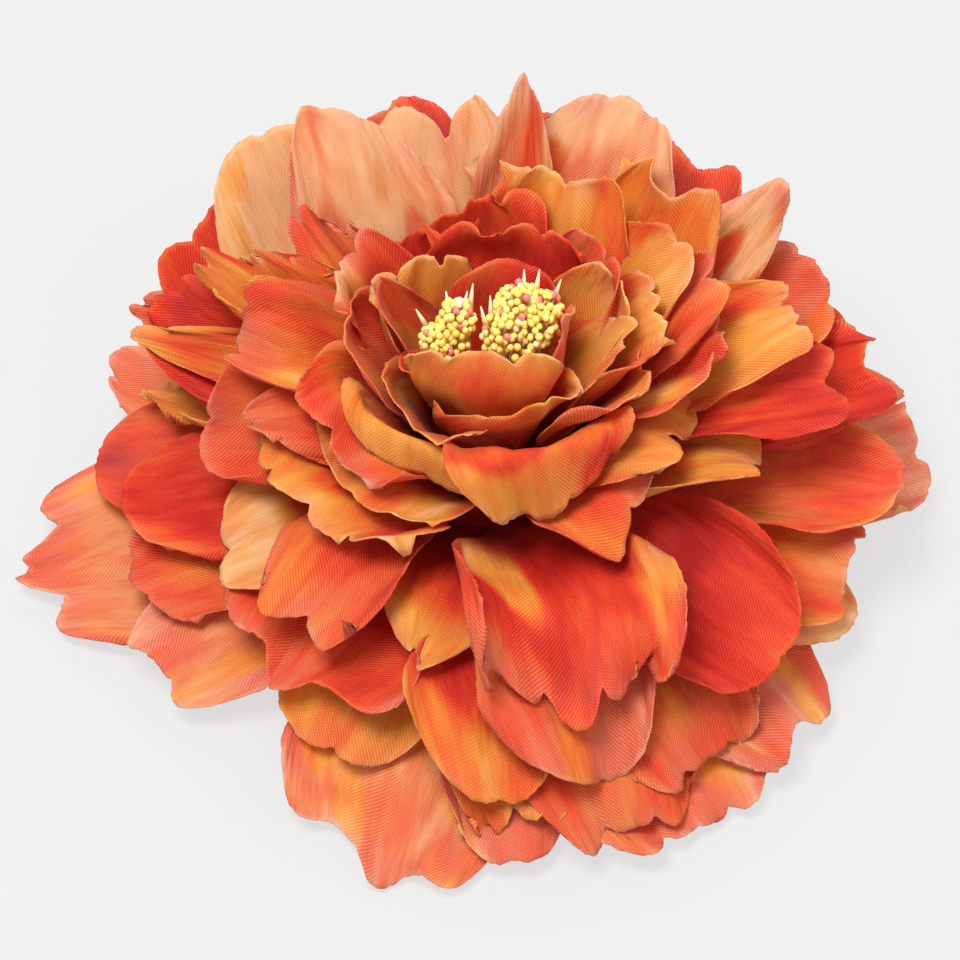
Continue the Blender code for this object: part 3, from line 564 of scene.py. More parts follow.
def petal_point(controls, petal, root_width, phases, u, v):
    """A point of the petal: u from right edge at -1 to left edge at 1, v from root at 0 to tip at 1."""
    width, cup_right, cup_left, twist, wave = petal[3], petal[6], petal[7], petal[8], petal[10]
    p0, p1, p2, p3 = controls
    w = 1 - v
    centre = w**3 * p0 + 3 * w * w * v * p1 + 3 * w * v * v * p2 + v**3 * p3
    along = unit(3 * w * w * (p1 - p0) + 6 * w * v * (p2 - p1) + 3 * v * v * (p3 - p2))
    out = p3 - p0
    side = unit(np.array([-out[1], out[0], 0.0]))
    side = unit(side - along * (side @ along))
    inward = np.cross(along, side)
    turned = math.radians(twist) * v
    cosine, sine = math.cos(turned), math.sin(turned)
    side, inward = side * cosine + inward * sine, inward * cosine - side * sine
    grown = math.sin(min(1.0, v / WIDEST_AT) * math.pi / 2) ** 1.4
    spread = 0.5 * (root_width + (width - root_width) * grown)
    spread *= 1 - END_TAPER * max(0.0, (v - WIDEST_AT) / (1 - WIDEST_AT)) ** 2
    bend = math.radians(cup_left if u > 0 else cup_right) * min(1.0, v * 1.8)
    across, lift = u * spread, 0.0
    if abs(bend) > 0.02:
        across = math.sin(bend * u) / bend * spread
        lift = (1 - math.cos(bend * u)) / bend * spread
    ripple = wave * v**1.5 * (0.25 + 0.75 * abs(u)) * math.sin(1.3 * math.pi * u + phases[0] + 1.5 * v)
    ripple += 0.7 * wave * u * u * math.sin(2.2 * math.pi * v + phases[1]) * v
    point = centre + side * across + inward * (lift + ripple)
    point[2] = max(point[2], FLOOR_CLEARANCE)
    return point


def petal_cage(layer, petal, seed):
    """Points of one petal, rows from root to tip and columns across it."""
    turn, reach, height, width, rise, slope = petal[:6]
    phases = np.random.default_rng(seed).uniform(0, 2 * math.pi, 3)
    root_turn = turn - petal[11]
    root = leaning(root_turn, 0) * (RING_RADII[layer] - ROOT_INSET)
    root = root + UP * (FIRST_LAYER_HEIGHT + LAYER_PITCH * layer)
    tip = leaning(turn, 0) * reach + UP * height
    columns, shares, fold = FORMS[petal[9]]
    chord = np.linalg.norm(tip - root)
    pull = fold * chord * (0.36 + 0.15 * (1 - math.cos(math.radians(rise - slope))))
    controls = (root, root + leaning(root_turn, rise) * pull, tip - leaning(turn, slope) * pull, tip)
    root_width = min(ROOT_WIDTH, ROOT_SHARE * RING_RADII[layer])
    if width <= 24 and len(columns) == 7:
        columns, shares, fold = FORMS["two"]
    if width <= 13:
        shares = np.interp(NARROW_COLUMNS, columns, shares)
        columns = NARROW_COLUMNS
    length = (chord + 2 * pull + np.linalg.norm(controls[2] - controls[1])) / 2
    rows = int(np.clip(round(length / ROW_LENGTH) + 1, 4, 7))
    cage = np.zeros((rows, len(columns), 3))
    for j in range(rows):
        s = j / (rows - 1)
        for i, u in enumerate(columns):
            v = s * (1 + (shares[i] - 1) * s**0.5)
            cage[j, i] = petal_point(controls, petal, root_width, phases, u, v)
    return cage


def spreading(rows, columns):
    """Weights that carry a cage's points to samples all over the petal."""
    made = []
    for j in range((rows - 1) * SAMPLES + 1):
        for i in range((columns - 1) * SAMPLES + 1):
            a = min(j // SAMPLES, rows - 2)
            b = min(i // SAMPLES, columns - 2)
            y, x = j / SAMPLES - a, i / SAMPLES - b
            weights = np.zeros((rows, columns))
            weights[a, b] = (1 - y) * (1 - x)
            weights[a, b + 1] = (1 - y) * x
            weights[a + 1, b] = y * (1 - x)
            weights[a + 1, b + 1] = y * x
            made.append(weights.ravel())
    return np.array(made)


def facing(points, shape):
    """Normals of the samples, on the side the petal cups toward, and which samples lie before its fold."""
    grid = points.reshape(*shape, 3)
    normals = unit(np.cross(np.gradient(grid, axis=0), np.gradient(grid, axis=1)))
    standing = normals @ normals[0, shape[1] // 2] > FOLDED
    return normals.reshape(-1, 3), standing.ravel()


def smoothed(moves):
    padded = np.pad(moves, ((1, 1), (1, 1), (0, 0)), mode="edge")
    around = padded[:-2, 1:-1] + padded[2:, 1:-1] + padded[1:-1, :-2] + padded[1:-1, 2:]
    return 0.6 * moves + 0.1 * around


def contact(one, other, sign, gap, distances, start, pushes, hits):
    """Adds the pushes that bring the samples of one petal to the right side of another."""
    points, _, _, key = one
    others, normals, standing, other_key = other
    near = distances.argmin(axis=1)
    step = points - others[near]
    height = (step * normals[near]).sum(axis=1) * sign
    aside = np.linalg.norm(step - normals[near] * (height * sign)[:, None], axis=1)
    hit = (height < gap) & (height > -DEEPEST) & (aside < BESIDE) & standing[near]
    hit[:start] = False
    if not hit.any():
        return
    push = normals[near[hit]] * (sign * 0.25 * (gap - height[hit]))[:, None]
    pushes[key][hit] += push
    hits[key][hit] += 1
    np.add.at(pushes[other_key], near[hit], -push)
    np.add.at(hits[other_key], near[hit], 1)


def nest(cages, layers):
    """Pushes crossing petals apart, each later petal to the inner side of the ones before it."""
    cages = [cage.copy() for cage in cages]
    weights = [spreading(*cage.shape[:2]) for cage in cages]
    shapes = [((c.shape[0] - 1) * SAMPLES + 1, (c.shape[1] - 1) * SAMPLES + 1) for c in cages]
    count = len(cages)
    for _ in range(NEST_ROUNDS):
        points = [w @ cage.reshape(-1, 3) for w, cage in zip(weights, cages)]
        sides = [(p, *facing(p, shape), k) for k, (p, shape) in enumerate(zip(points, shapes))]
        low = np.array([p.min(axis=0) for p in points]) - PETAL_GAP
        high = np.array([p.max(axis=0) for p in points]) + PETAL_GAP
        pushes = [np.zeros_like(p) for p in points]
        hits = [np.zeros(len(p)) for p in points]
        for a in range(count):
            for b in range(a + 1, count):
                if (low[a] > high[b]).any() or (low[b] > high[a]).any():
                    continue
                mates = layers[a] == layers[b]
                gap = MATE_GAP if mates else PETAL_GAP
                squares = (points[a] ** 2).sum(axis=1)[:, None] + (points[b] ** 2).sum(axis=1)[None, :]
                distances = squares - 2 * points[a] @ points[b].T
                for one, two, sign, table in ((b, a, 1.0, distances.T), (a, b, -1.0, distances)):
                    start = 2 * shapes[one][1]
                    contact(sides[one], sides[two], sign, gap, table, start, pushes, hits)
        for k in range(count):
            if not hits[k].any():
                continue
            moved = pushes[k] / np.sqrt(np.maximum(hits[k], 1))[:, None]
            touched = weights[k] * (hits[k] > 0)[:, None]
            moves = (touched.T @ moved) / np.maximum(touched.sum(axis=0), 0.6)[:, None] * 2.2
            moves = smoothed(moves.reshape(cages[k].shape))
            length = np.linalg.norm(moves, axis=-1, keepdims=True)
            moves *= np.minimum(1, 2.5 / np.maximum(length, 1e-6))
            moves[0] = 0
            moves[1] *= 0.7
            cages[k] = cages[k] + moves
            cages[k][..., 2] = np.maximum(cages[k][..., 2], FLOOR_CLEARANCE)
    return cages


def nested_petals():
    """Cages of every layer's petals, nested in each other."""
    cages, layers = [], []
    for layer, petals in enumerate(LAYERS.values()):
        for n, petal in enumerate(petals):
            cages.append(petal_cage(layer, petal, 100 * layer + n))
            layers.append(layer)
    cages = nest(cages, layers)
    return [[c for c, place in zip(cages, layers) if place == k] for k in range(len(LAYERS))]


def linear_colour(code):
    """Linear red, green, blue and alpha of an sRGB hex code."""
    channels = [int(code[i : i + 2], 16) / 255 for i in (1, 3, 5)]
    return (*[c / 12.92 if c <= 0.04045 else ((c + 0.055) / 1.055) ** 2.4 for c in channels], 1.0)


def add(tree, kind, inputs=None, stops=(), **settings):
    """Adds a node with its properties, its inputs by name or number, and the stops of its colour ramp."""
    node = tree.nodes.new("ShaderNode" + kind)
    for key, value in settings.items():
        setattr(node, key, value)
    for key, value in (inputs or {}).items():
        if isinstance(value, bpy.types.NodeSocket):
            tree.links.new(value, node.inputs[key])
        else:
            node.inputs[key].default_value = value
    for k, (place, code) in enumerate(stops):
        elements = node.color_ramp.elements
        element = elements[k] if k < 2 else elements.new(place)
        element.position = place
        element.color = linear_colour(code)
    return node


def computed(tree, operation, *values, clamp=False):
    """The outcome of one sum on sockets and numbers."""
    return add(tree, "Math", dict(enumerate(values)), operation=operation, use_clamp=clamp).outputs[0]


def new_material(name):
    made = bpy.data.materials.new(name)
    made.use_nodes = True
    made.node_tree.nodes.clear()
    return made, made.node_tree


def patches(tree, uv, across, along):
    """Noise in the cloth's own millimetres, from about -0.3 to 0.3."""
    place = add(tree, "Mapping", {"Vector": uv, "Scale": (1 / across, 1 / along, 1)}).outputs[0]
    noise = add(tree, "TexNoise", {"Vector": place, "Scale": 1.0, "Detail": 2.0, "Roughness": 0.55})
    return computed(tree, "SUBTRACT", noise.outputs["Fac"], 0.5)


def ribs(tree, uv, turn):
    """Ridges of one thread direction of the weave, from -1 to 1."""
    place = add(tree, "Mapping", {"Vector": uv, "Rotation": (0, 0, math.radians(turn))}).outputs[0]
    x = add(tree, "SeparateXYZ", {0: place}).outputs["X"]
    phase = computed(tree, "MULTIPLY", x, 2 * math.pi / THREAD_SPACING)
    return computed(tree, "SINE", phase)


def woven(tree, uv):
    """Height of the weave, from 0 to 1: strong diagonal ribs that come and go, crossed by weaker ones."""
    worn = patches(tree, uv, WORN_PATCH, WORN_PATCH)
    worn = computed(tree, "MULTIPLY_ADD", worn, 1.4, 0.3)
    warp = computed(tree, "MULTIPLY", ribs(tree, uv, RIB_TURNS[0]), worn)
    weft = computed(tree, "MULTIPLY_ADD", ribs(tree, uv, RIB_TURNS[1]), 0.12, 0.5)
    return computed(tree, "ADD", warp, weft, clamp=True)


def dyed(tree, uv, weave):
    """Colour of the cloth: its dye bath, streaked from root to tip, with painted shade between the ribs and
    a painted highlight on them.
    """
    tone = add(tree, "Attribute", attribute_name="tone").outputs["Fac"]
    pink = add(tree, "Attribute", attribute_name="pink").outputs["Fac"]
    streak = patches(tree, uv, *STREAK_SIZE)
    cloud = patches(tree, uv, *CLOUD_SIZE)
    tone = computed(tree, "MULTIPLY_ADD", streak, STREAKS, tone, clamp=True)
    pink = computed(tree, "MULTIPLY_ADD", cloud, CLOUDS, pink, clamp=True)
    warm = add(tree, "ValToRGB", {0: tone}, WARM_DYES).outputs[0]
    rosy = add(tree, "ValToRGB", {0: tone}, PINK_DYES).outputs[0]
    dye = add(tree, "Mix", {0: pink, 6: warm, 7: rosy}, data_type="RGBA").outputs[2]
    # painted shade: the dye is darkened between the ribs of the weave and brightened a little on them
    shade = add(tree, "MapRange", {0: weave, 3: WEAVE_SHADES[0], 4: WEAVE_SHADES[1]}).outputs[0]
    dye = add(tree, "VectorMath", {0: dye, "Scale": shade}, operation="SCALE").outputs[0]
    # painted highlight: the ribs are paled toward a light thread colour, more where the dye is paler
    rib = computed(tree, "POWER", weave, 2.0)
    pale = computed(tree, "MULTIPLY", tone, PAINTED_THREAD_HIGHLIGHT)
    pale = computed(tree, "MULTIPLY", rib, pale)
    return add(tree, "Mix", {0: pale, 6: dye, 7: linear_colour(PAINTED_HIGHLIGHT_COLOUR)}, data_type="RGBA").outputs[2]


def taffeta():
    """Dyed polyester taffeta pressed hot into petals: a visible weave, a soft sheen, light through it."""
    made, tree = new_material("dyed_taffeta")
    uv = add(tree, "UVMap", uv_map="cloth").outputs["UV"]
    weave = woven(tree, uv)
    colour = dyed(tree, uv, weave)
    fold = computed(tree, "ABSOLUTE", patches(tree, uv, *CREASE_SIZE))
    relief = computed(tree, "MULTIPLY", weave, WEAVE_HEIGHT)
    relief = computed(tree, "MULTIPLY_ADD", fold, CREASE_HEIGHT, relief)
    bump = add(tree, "Bump", {"Strength": 0.7, "Distance": BUMP_DEPTH * MM, "Height": relief}).outputs[0]
    cloth = add(tree, "BsdfPrincipled", CLOTH_FINISH | {"Base Color": colour, "Normal": bump})
    through = add(tree, "BsdfTranslucent", {"Color": colour, "Normal": bump})
    both = add(tree, "MixShader", {0: LIGHT_THROUGH, 1: cloth.outputs[0], 2: through.outputs[0]})
    add(tree, "OutputMaterial", {0: both.outputs[0]})
    return made


def plain_finish(name):
    """A smooth finish with a slight drift of colour."""
    code, roughness, drift, drift_size, coat = FINISHES[name]
    made, tree = new_material(name)
    place = add(tree, "TexCoord").outputs["Object"]
    drifting = {"Vector": place, "Scale": 1000 / drift_size, "Detail": 2.0}
    noise = add(tree, "TexNoise", drifting).outputs["Fac"]
    colour = add(tree, "ValToRGB", {0: noise}, ((0.3, drift), (0.65, code))).outputs[0]
    bump = add(tree, "Bump", {"Strength": 0.2, "Distance": 0.05 * MM, "Height": noise}).outputs[0]
    finish = {"Base Color": colour, "Roughness": roughness, "Coat Weight": coat, "Normal": bump}
    shader = add(tree, "BsdfPrincipled", finish)
    add(tree, "OutputMaterial", {0: shader.outputs[0]})
    return made


def indexed(places, last):
    """Cells and Catmull-Rom weights at places along an axis padded by one on each side."""
    cells = np.clip(np.floor(places).astype(int), 0, last - 1)
    f = places - cells
    weights = (-f + 2 * f**2 - f**3, 2 - 5 * f**2 + 3 * f**3, f + 4 * f**2 - 3 * f**3, -(f**2) + f**3)
    return cells, [0.5 * w for w in weights]


def surface(cage, down, across):
    """Points of the smooth sheet through a cage, at places counted in its rows and columns."""
    wide = np.concatenate([2 * cage[:1] - cage[1:2], cage, 2 * cage[-1:] - cage[-2:-1]])
    wide = np.concatenate([2 * wide[:, :1] - wide[:, 1:2], wide, 2 * wide[:, -1:] - wide[:, -2:-1]], axis=1)
    rows, row_weights = indexed(down, cage.shape[0] - 1)
    columns, column_weights = indexed(across, cage.shape[1] - 1)
    points = np.zeros(down.shape + (3,))
    for j, by_row in enumerate(row_weights):
        for i, by_column in enumerate(column_weights):
            points += (by_row * by_column)[..., None] * wide[rows + j, columns + i]
    return points


def waves(rng, x, y, shortest, longest, count):
    """Smooth random relief over millimetre places, about 1 high."""
    relief = np.zeros_like(x)
    for _ in range(count):
        angle = rng.uniform(0, math.pi)
        length = rng.uniform(shortest, longest)
        run = x * math.cos(angle) + y * math.sin(angle)
        relief += np.sin(2 * math.pi * run / length + rng.uniform(0, 2 * math.pi))
    return relief / math.sqrt(count)


def rim_line(rng, u, style, width):
    """How far each column of a petal falls short of the cage's rim and stands off it, in millimetres."""
    lobe_width, depth, notch, fall, stand_off = RIMS[style]
    lobes = max(1, round(width / lobe_width * rng.uniform(0.8, 1.2)))
    cuts = np.linspace(-1, 1, lobes + 1)[1:-1]
    cuts = cuts + rng.uniform(-0.3, 0.3, cuts.shape) / lobes
    short = rng.normal(0, FRAYING, u.shape)
    lift = np.zeros_like(u)
    for cut in cuts:
        away = np.abs(u - cut) * width / 2 / notch
        short += depth * rng.uniform(0.5, 1.4) * np.exp(-(away**1.6))
    edges = [-2 - cuts[0], *cuts, 2 - cuts[-1]] if lobes > 1 else [-2, 2]
    for low, high in zip(edges, edges[1:]):
        inside = (u >= low) & (u < high)
        local = (2 * u[inside] - low - high) / (high - low)
        short[inside] += fall * rng.uniform(0.7, 1.3) * np.abs(local) ** 3
        lift[inside] = stand_off * rng.uniform(-0.6, 1) * (1 - local**4)
    return short, lift


def turned(vectors, axes, angles):
    """Vectors turned about unit axes by angles in radians."""
    c, s = np.cos(angles)[..., None], np.sin(angles)[..., None]
    dots = (vectors * axes).sum(axis=-1, keepdims=True)
    return vectors * c + np.cross(axes, vectors) * s + axes * dots * (1 - c)


def rolled(points, axes, start, degrees):
    """Rolls the end of a sheet: rows past start turn further and further about their axes."""
    rows = len(points)
    first = max(1, round(start * (rows - 1)))
    made = points.copy()
    for j in range(first, rows):
        share = ((j - first + 1) / (rows - first)) ** 1.2
        step = turned(points[j] - points[j - 1], axes[j - 1], np.radians(degrees) * share)
        made[j] = made[j - 1] + step
    return made


def sheet_normals(points):
    down = unit(np.gradient(points, axis=0))
    across = unit(np.gradient(points, axis=1))
    return unit(np.cross(down, across)), down, across


def rounded_end(t, u, short, length, width):
    """Places down and across a petal with its notched rim, its corners rounded in millimetres."""
    down = t * (1 - short[None, :] / length * t**2.5)
    corner = min(0.4, CORNER_SHARE * width / 2 / length)
    late = np.clip((t - 1 + corner) / corner, 0, 1)
    down = down - (1 - np.sqrt(1 - u**2 / 2)) * late * corner
    return down, u * np.sqrt(1 - late**2 / 2)


def petal_relief(rng, x, y, t, u, ruffle):
    """Waves, folds and a fluted rim that stand on the smooth petal, in millimetres."""
    relief = BROAD_HEIGHT * ruffle * waves(rng, x, y * 0.4, *BROAD_WAVES) * t**0.9
    relief += FINE_HEIGHT * ruffle * waves(rng, x * 1.5, y * 0.5, *FINE_WAVES) * t**0.7
    relief += FOLD_HEIGHT * ruffle * np.abs(waves(rng, x * 1.3, y * 0.4, *FOLD_WAVES)) * t**0.8
    edge = np.maximum(np.abs(u) ** 5, t**4) * t
    relief += FLUTE_HEIGHT * ruffle * edge * waves(rng, x, y, *FLUTE_WAVES)
    return relief


def rolled_sides(points, low_roll, high_roll):
    """Rolls each long side of a petal by its own angle, less near the root."""
    _, along, _ = sheet_normals(points)
    for sign, degrees in ((1, high_roll), (-1, low_roll)):
        if not degrees:
            continue
        flipped = points[:, ::sign].swapaxes(0, 1)
        axes = (sign * along[:, ::sign]).swapaxes(0, 1)
        fading = degrees * np.clip(np.linspace(-0.1, 1.1, len(points)) * 1.6, 0, 1)
        points = rolled(flipped, axes, ROLL_START, fading).swapaxes(0, 1)[:, ::sign]
    return points


def petal_sheet(cage, look, seed):
    """Fine points of one petal, with its places across and along it in millimetres."""
    style, curl, low_roll, high_roll, ruffle = look[1:]
    rng = np.random.default_rng(seed)
    length = np.linalg.norm(np.diff(cage[:, cage.shape[1] // 2], axis=0), axis=1).sum()
    widths = np.linalg.norm(np.diff(cage, axis=1), axis=2).sum(axis=1)
    cells = np.array([length, widths.max()]) / CLOTH_CELL
    rows, columns = np.clip(cells, FEWEST_CELLS, MOST_CELLS).astype(int) + 1
    t, u = np.meshgrid(np.linspace(0, 1, rows), np.linspace(-1, 1, columns), indexing="ij")
    short, lift = rim_line(rng, u[0], style, widths.max())
    down, across = rounded_end(t, u, short, length, widths.max())
    sway = SIDE_SWAY * np.sin(rng.uniform(5, 9) * t + rng.uniform(0, 6, 1))
    side = 1 + (sway + rng.normal(0, SIDE_FRAYING, t.shape)) * t
    across = 0.5 + 0.5 * across * np.where(np.abs(u) > 0.8, 1 + (side - 1) * (np.abs(u) - 0.8) / 0.2, 1)
    points = surface(cage, down * (cage.shape[0] - 1), across * (cage.shape[1] - 1))
    normals, _, aside = sheet_normals(points)
    x = (across - 0.5) * np.interp(down, np.linspace(0, 1, len(cage)), widths)
    y = down * length
    relief = petal_relief(rng, x, y, t, u, ruffle) + lift[None, :] * t**2.2
    points = points + normals * relief[..., None]
    uneven = 1 + CURL_UNEVEN * np.sin(rng.uniform(2, 4) * u[0] + rng.uniform(0, 6))
    points = rolled(points, -aside, CURL_START, curl * uneven)
    points = rolled_sides(points, low_roll, high_roll)
    points[..., 2] = np.maximum(points[..., 2], CLOTH_FLOOR)
    return points, x, y, t


def eased(place, start, length):
    """From 0 at the start to 1 a length further, with soft ends."""
    share = np.clip((place - start) / length, 0, 1)
    return share**2 * (3 - 2 * share)


def dyes(x, y, t, look, seed):
    """Tone and pink share at each place: root, middle and end tone, streaks, and a rim dipped in rose."""
    rng = np.random.default_rng(seed + DYE_SEEDS)
    root, middle, end, streak, cover, rose = DYES[look[0]]
    root, middle, end, streak = (np.array(TONES[name]) for name in (root, middle, end, streak))
    place = t + 0.12 * waves(rng, x, y, *BORDER_WAVES)
    mixed = root + (middle - root) * eased(place, *MIDDLE_START)[..., None]
    mixed = mixed + (end - middle) * eased(place, *END_START)[..., None]
    covered = (waves(rng, x * 0.8, y * 0.4, *STREAK_WAVES) - 1.2 * (0.6 - cover)) / 0.5
    covered = np.clip(covered, 0, 1) * np.clip((place - 0.25) / 0.2, 0, 1)
    mixed = mixed + (streak - mixed) * covered[..., None]
    from_side = np.minimum(x - x[:, :1], x[:, -1:] - x) + 0.5
    from_rim = np.maximum(np.minimum(y[-1:] - y, from_side), 0)
    dipped = rose * np.exp(-from_rim / ROSE_REACH) * t**0.5
    dipped = dipped * (1 + 0.6 * waves(rng, x, y, *ROSE_WAVES))
    tone = mixed[..., 0] + (ROSE_TONE - mixed[..., 0]) * ROSE_SHARE * np.clip(dipped, 0, 1)
    tone = tone + 0.08 * waves(rng, x, y, *TONE_WAVES) + EDGE_PALE * np.exp(-from_rim / EDGE_REACH) * t
    pink = mixed[..., 1] + dipped
    return tone, pink


def mesh_from(bm, name):
    """A new mesh of the faces in bm, which is freed."""
    mesh = bpy.data.meshes.new(name)
    bm.to_mesh(mesh)
    bm.free()
    return mesh


def linked(name, data):
    """A new object of this data in the scene."""
    made = bpy.data.objects.new(name, data)
    bpy.context.scene.collection.objects.link(made)
    return made


def set_values(mesh, name, values):
    mesh.attributes.new(name, "FLOAT", "POINT").data.foreach_set("value", values.ravel().astype(np.float32))


def petal_mesh(cage, look, seed):
    """One petal as an open sheet of quads with its dyes and its own millimetres as UV."""
    points, x, y, t = petal_sheet(cage, look, seed)
    tone, pink = dyes(x, y, t, look, seed)
    rows, columns = t.shape
    bm = bmesh.new()
    bmesh.ops.create_grid(bm, x_segments=columns - 1, y_segments=rows - 1, size=1.0)
    mesh = mesh_from(bm, "petal")
    grid = np.zeros(len(mesh.vertices) * 3)
    mesh.vertices.foreach_get("co", grid)
    grid = grid.reshape(-1, 3)
    i = np.rint((grid[:, 0] + 1) / 2 * (columns - 1)).astype(int)
    j = np.rint((grid[:, 1] + 1) / 2 * (rows - 1)).astype(int)
    mesh.vertices.foreach_set("co", (points[j, i] * MM).ravel())
    set_values(mesh, "tone", tone[j, i])
    set_values(mesh, "pink", pink[j, i])
    corners = np.zeros(len(mesh.loops), int)
    mesh.loops.foreach_get("vertex_index", corners)
    shift = np.array([seed % 100, seed // 100]) * CLOTH_STEP
    mirror = 1 - 2 * (seed % 2)
    places = np.stack([x[j, i] * mirror, y[j, i]], axis=-1)[corners] + shift
    mesh.uv_layers.new(name="cloth").data.foreach_set("uv", places.ravel().astype(np.float32))
    mesh.update()
    return mesh


def new_piece(name, bm, materials, node):
    """Makes the object, gives it its finish, and puts it in place of its CAD node."""
    mesh = mesh_from(bm, name)
    made = linked(name, mesh)
    for material in materials:
        mesh.materials.append(material)
    mesh.shade_smooth()
    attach(made, BODY)
    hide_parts(node)
    return made


def full_turn(bm, geometry, sides):
    """Spins vertices and edges once round the axis and closes the seam."""
    spin = {"cent": (0, 0, 0), "axis": (0, 0, 1), "angle": 2 * math.pi, "use_merge": True}
    bmesh.ops.spin(bm, geom=geometry, steps=sides, **spin)


def disc_into(bm, layer):
    """The flat disc of cloth that a layer's petals grow from, round the peg; its tone and pink stay at 0,
    the darkest red, as painted shade deep in the flower.
    """
    height = (FIRST_LAYER_HEIGHT + LAYER_PITCH * layer) * MM
    inner = bm.verts.new(((PEG_RADIUS + HUB_GAP) * MM, 0, height))
    outer = bm.verts.new((RING_RADII[layer] * MM, 0, height))
    edge = bm.edges.new((inner, outer))
    full_turn(bm, [inner, outer, edge], RING_SIDES)


def petal_layers(cloth):
    for layer, (name, cages) in enumerate(zip(LAYERS, nested_petals())):
        bm = bmesh.new()
        for n, cage in enumerate(cages):
            mesh = petal_mesh(cage, LOOKS[name][n], 100 * layer + n)
            bm.from_mesh(mesh)
            bpy.data.meshes.remove(mesh)
        # painted shade: the discs keep tone and pink at 0, the darkest red of the ramp, for the dark gap
        # round the peg
        disc_into(bm, layer)
        made = new_piece(name.replace("petals", "cloth"), bm, [cloth], name)
        solid = made.modifiers.new("thickness", "SOLIDIFY")
        solid.thickness = CLOTH_THICKNESS * MM
        solid.offset = 0.0


def bead_places(rng, centre, radii, count):
    """Beads over a clump, evenly spread and at slightly different heights."""
    places = []
    for k in range(count):
        height = 1 - BEADS_DOWN * (k + 0.5) / count
        level = math.sqrt(max(0.0, 1 - height * height))
        around = k * GOLDEN_ANGLE
        shell = rng.uniform(0.84, 1.06)
        direction = np.array([level * math.cos(around), level * math.sin(around), height])
        place = np.array(centre) + np.array(radii) * direction * shell
        places.append(place + rng.normal(0, BEAD_SCATTER, 3))
    return places


def beads(rng, finishes):
    """The lacquered stamen heads: mostly yellow, some pink, a few cream."""
    bm = bmesh.new()
    for centre, radii, count in CLUMPS:
        for place in bead_places(rng, centre, radii, count):
            kind = rng.choice(len(BEAD_SHARES), p=BEAD_SHARES)
            size = BEAD_RADIUS * rng.uniform(0.85, 1.12)
            fresh = bmesh.ops.create_icosphere(
                bm, subdivisions=2, radius=size * MM, matrix=Matrix.Translation(Vector(place) * MM)
            )["verts"]
            here = Matrix.Translation(-Vector(place) * MM)
            bmesh.ops.scale(bm, vec=(1, 1, BEAD_STRETCH), verts=fresh, space=here)
            for face in {f for v in fresh for f in v.link_faces}:
                face.material_index = int(kind)
    new_piece("stamen_beads", bm, finishes, "stamen_cluster")


def cone_into(bm, middle, direction, length, radii, sides):
    """A closed cone round its middle along a direction, in millimetres."""
    turn = Vector((0, 0, 1)).rotation_difference(direction).to_matrix().to_4x4()
    bmesh.ops.create_cone(
        bm,
        cap_ends=True,
        segments=sides,
        radius1=radii[0] * MM,
        radius2=radii[1] * MM,
        depth=length * MM,
        matrix=Matrix.Translation(Vector(middle) * MM) @ turn,
    )


def threads(rng, finish):
    """Thin stamen threads from the peg up to the beads."""
    bm = bmesh.new()
    for centre, radii, count in CLUMPS:
        for place in bead_places(rng, centre, np.array(radii) * 0.7, max(4, count // 4)):
            foot = np.array([rng.uniform(-1, 1), rng.uniform(-1, 1), PEG_TOP + HUB_GAP])
            run = Vector(place - foot)
            cone_into(bm, (place + foot) / 2, run, run.length, (THREAD_RADIUS, THREAD_RADIUS), THREAD_SIDES)
    new_piece("stamen_threads", bm, [finish], "stamen_cluster")


def paper_tips(finish):
    """Cream paper tips that stand among the beads."""
    bm = bmesh.new()
    for x, y, z, turn in TIPS:
        lean = Vector((math.cos(math.radians(turn)), math.sin(math.radians(turn)), TIP_RISE)).normalized()
        cone_into(bm, (x, y, z), lean, TIP_LENGTH, TIP_RADII, TIP_SIDES)
    new_piece("stamen_tips", bm, [finish], "stamen_cluster")


def sepal_into(bm, turn):
    """One leaf blade of the calyx, cupped a little along a midrib."""
    grid = bmesh.ops.create_grid(bm, x_segments=10, y_segments=16, size=1.0)["verts"]
    for vert in grid:
        share = (vert.co.y + 1) / 2
        breadth = math.sin(math.pi * (0.22 + 0.76 * share)) ** 0.8
        across = vert.co.x * breadth * SEPAL_WIDTH / 2
        outward = CALYX_RADIUS - SEPAL_INSET + SEPAL_LENGTH * share
        midrib = MIDRIB_DEPTH * math.exp(-((across / 0.5) ** 2))
        height = SEPAL_HEIGHT + SEPAL_RISE * share + SEPAL_CUP * abs(across) / SEPAL_WIDTH - midrib
        vert.co = Vector((outward, across, height)) * MM
    bmesh.ops.rotate(bm, verts=grid, cent=(0, 0, 0), matrix=Matrix.Rotation(math.radians(turn), 3, "Z"))
    faces = list({f for v in grid for f in v.link_faces})
    bmesh.ops.solidify(bm, geom=faces, thickness=SEPAL_THICKNESS * MM)


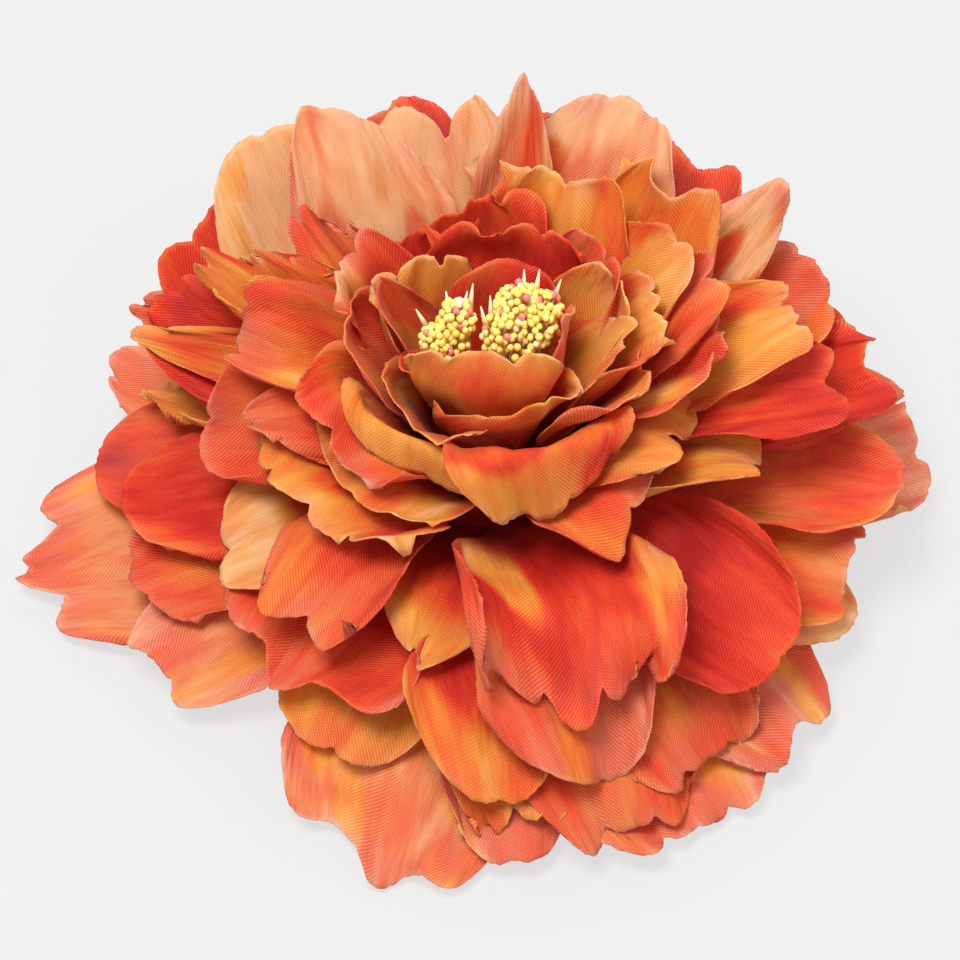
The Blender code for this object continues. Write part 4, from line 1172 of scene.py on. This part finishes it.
def calyx(finish):
    """The moulded cup with its flat foot, five sepals and the peg."""
    profile = [
        (0, 0),
        (CALYX_FOOT_RADIUS, 0),
        (CALYX_FOOT_RADIUS + 0.9, 0.3),
        (CALYX_FOOT_RADIUS + 2.1, 1.5),
        (CALYX_RADIUS - 0.4, 2.9),
        (CALYX_RADIUS, 4.0),
        (CALYX_RADIUS - 0.3, CALYX_TOP - 0.1),
        (CALYX_RADIUS - 0.8, CALYX_TOP),
        (PEG_RADIUS, CALYX_TOP),
        (PEG_RADIUS, PEG_TOP - 0.6),
        (PEG_RADIUS - 0.5, PEG_TOP),
        (0, PEG_TOP),
    ]
    bm = bmesh.new()
    verts = [bm.verts.new((r * MM, 0, z * MM)) for r, z in profile]
    edges = [bm.edges.new((a, b)) for a, b in zip(verts, verts[1:])]
    full_turn(bm, verts + edges, CALYX_SIDES)
    for k in range(SEPAL_COUNT):
        sepal_into(bm, FIRST_SEPAL_TURN + 360 / SEPAL_COUNT * k)
    bmesh.ops.remove_doubles(bm, verts=bm.verts, dist=1e-6)
    bmesh.ops.recalc_face_normals(bm, faces=bm.faces)
    made = new_piece("calyx_cup", bm, [finish], "calyx")
    made.data.set_sharp_from_angle(angle=math.radians(40))


def floor():
    """A pale floor that is lit evenly and takes a faint shadow."""
    bm = bmesh.new()
    bmesh.ops.create_grid(bm, x_segments=1, y_segments=1, size=FLOOR_SIZE)
    mesh = mesh_from(bm, "floor")
    made = linked("floor", mesh)
    material, tree = new_material("matt_card")
    glow = add(tree, "Emission", {"Color": linear_colour(BACKDROP), "Strength": FLOOR_GLOW})
    card = add(tree, "BsdfDiffuse", {"Color": linear_colour(BACKDROP)})
    both = add(tree, "MixShader", {0: FLOOR_SHADOW, 1: glow.outputs[0], 2: card.outputs[0]})
    add(tree, "OutputMaterial", {0: both.outputs[0]})
    mesh.materials.append(material)


def area_light(name, place, size, power):
    """A soft square light that faces the bloom; its place and size are in metres."""
    data = bpy.data.lights.new(name, "AREA")
    data.size = size
    data.energy = power
    made = linked(name, data)
    made.location = place
    aim = Vector((0, 0, AIM_HEIGHT)) - Vector(place)
    made.rotation_euler = aim.to_track_quat("-Z", "Y").to_euler()


def lights():
    world = bpy.data.worlds.new("studio")
    world.use_nodes = True
    world.node_tree.nodes["Background"].inputs[0].default_value = (1, 1, 1, 1)
    world.node_tree.nodes["Background"].inputs[1].default_value = WORLD_LIGHT
    bpy.context.scene.world = world
    for light in LIGHTS:
        area_light(*light)


def camera():
    tilt = math.radians(ELEVATION)
    back = Vector((0, -math.cos(tilt), math.sin(tilt)))
    up = Vector((0, math.sin(tilt), math.cos(tilt)))
    data = bpy.data.cameras.new("camera")
    data.sensor_width = SENSOR_WIDTH
    data.lens = SENSOR_WIDTH * DISTANCE / FRAME_WIDTH
    made = linked("camera", data)
    made.location = (Vector((AIM_RIGHT, 0, 0)) + up * AIM_UP + back * DISTANCE) * MM
    made.rotation_euler = back.to_track_quat("Z", "Y").to_euler()
    bpy.context.scene.camera = made


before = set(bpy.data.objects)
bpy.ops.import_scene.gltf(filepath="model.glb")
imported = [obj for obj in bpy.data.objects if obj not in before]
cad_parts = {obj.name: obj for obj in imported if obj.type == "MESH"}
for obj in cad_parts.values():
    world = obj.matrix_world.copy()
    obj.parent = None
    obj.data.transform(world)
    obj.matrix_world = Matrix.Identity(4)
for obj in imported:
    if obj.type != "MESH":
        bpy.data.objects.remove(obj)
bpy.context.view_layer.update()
bpy.context.scene.view_settings.view_transform = "Standard"
camera()
floor()
lights()
petal_layers(taffeta())
stamen_rng = np.random.default_rng(11)
beads(stamen_rng, [plain_finish(name) for name in ("yellow_lacquer", "pink_lacquer", "cream_lacquer")])
threads(stamen_rng, plain_finish("cotton_thread"))
paper_tips(plain_finish("rolled_paper"))
calyx(plain_finish("moulded_polythene"))
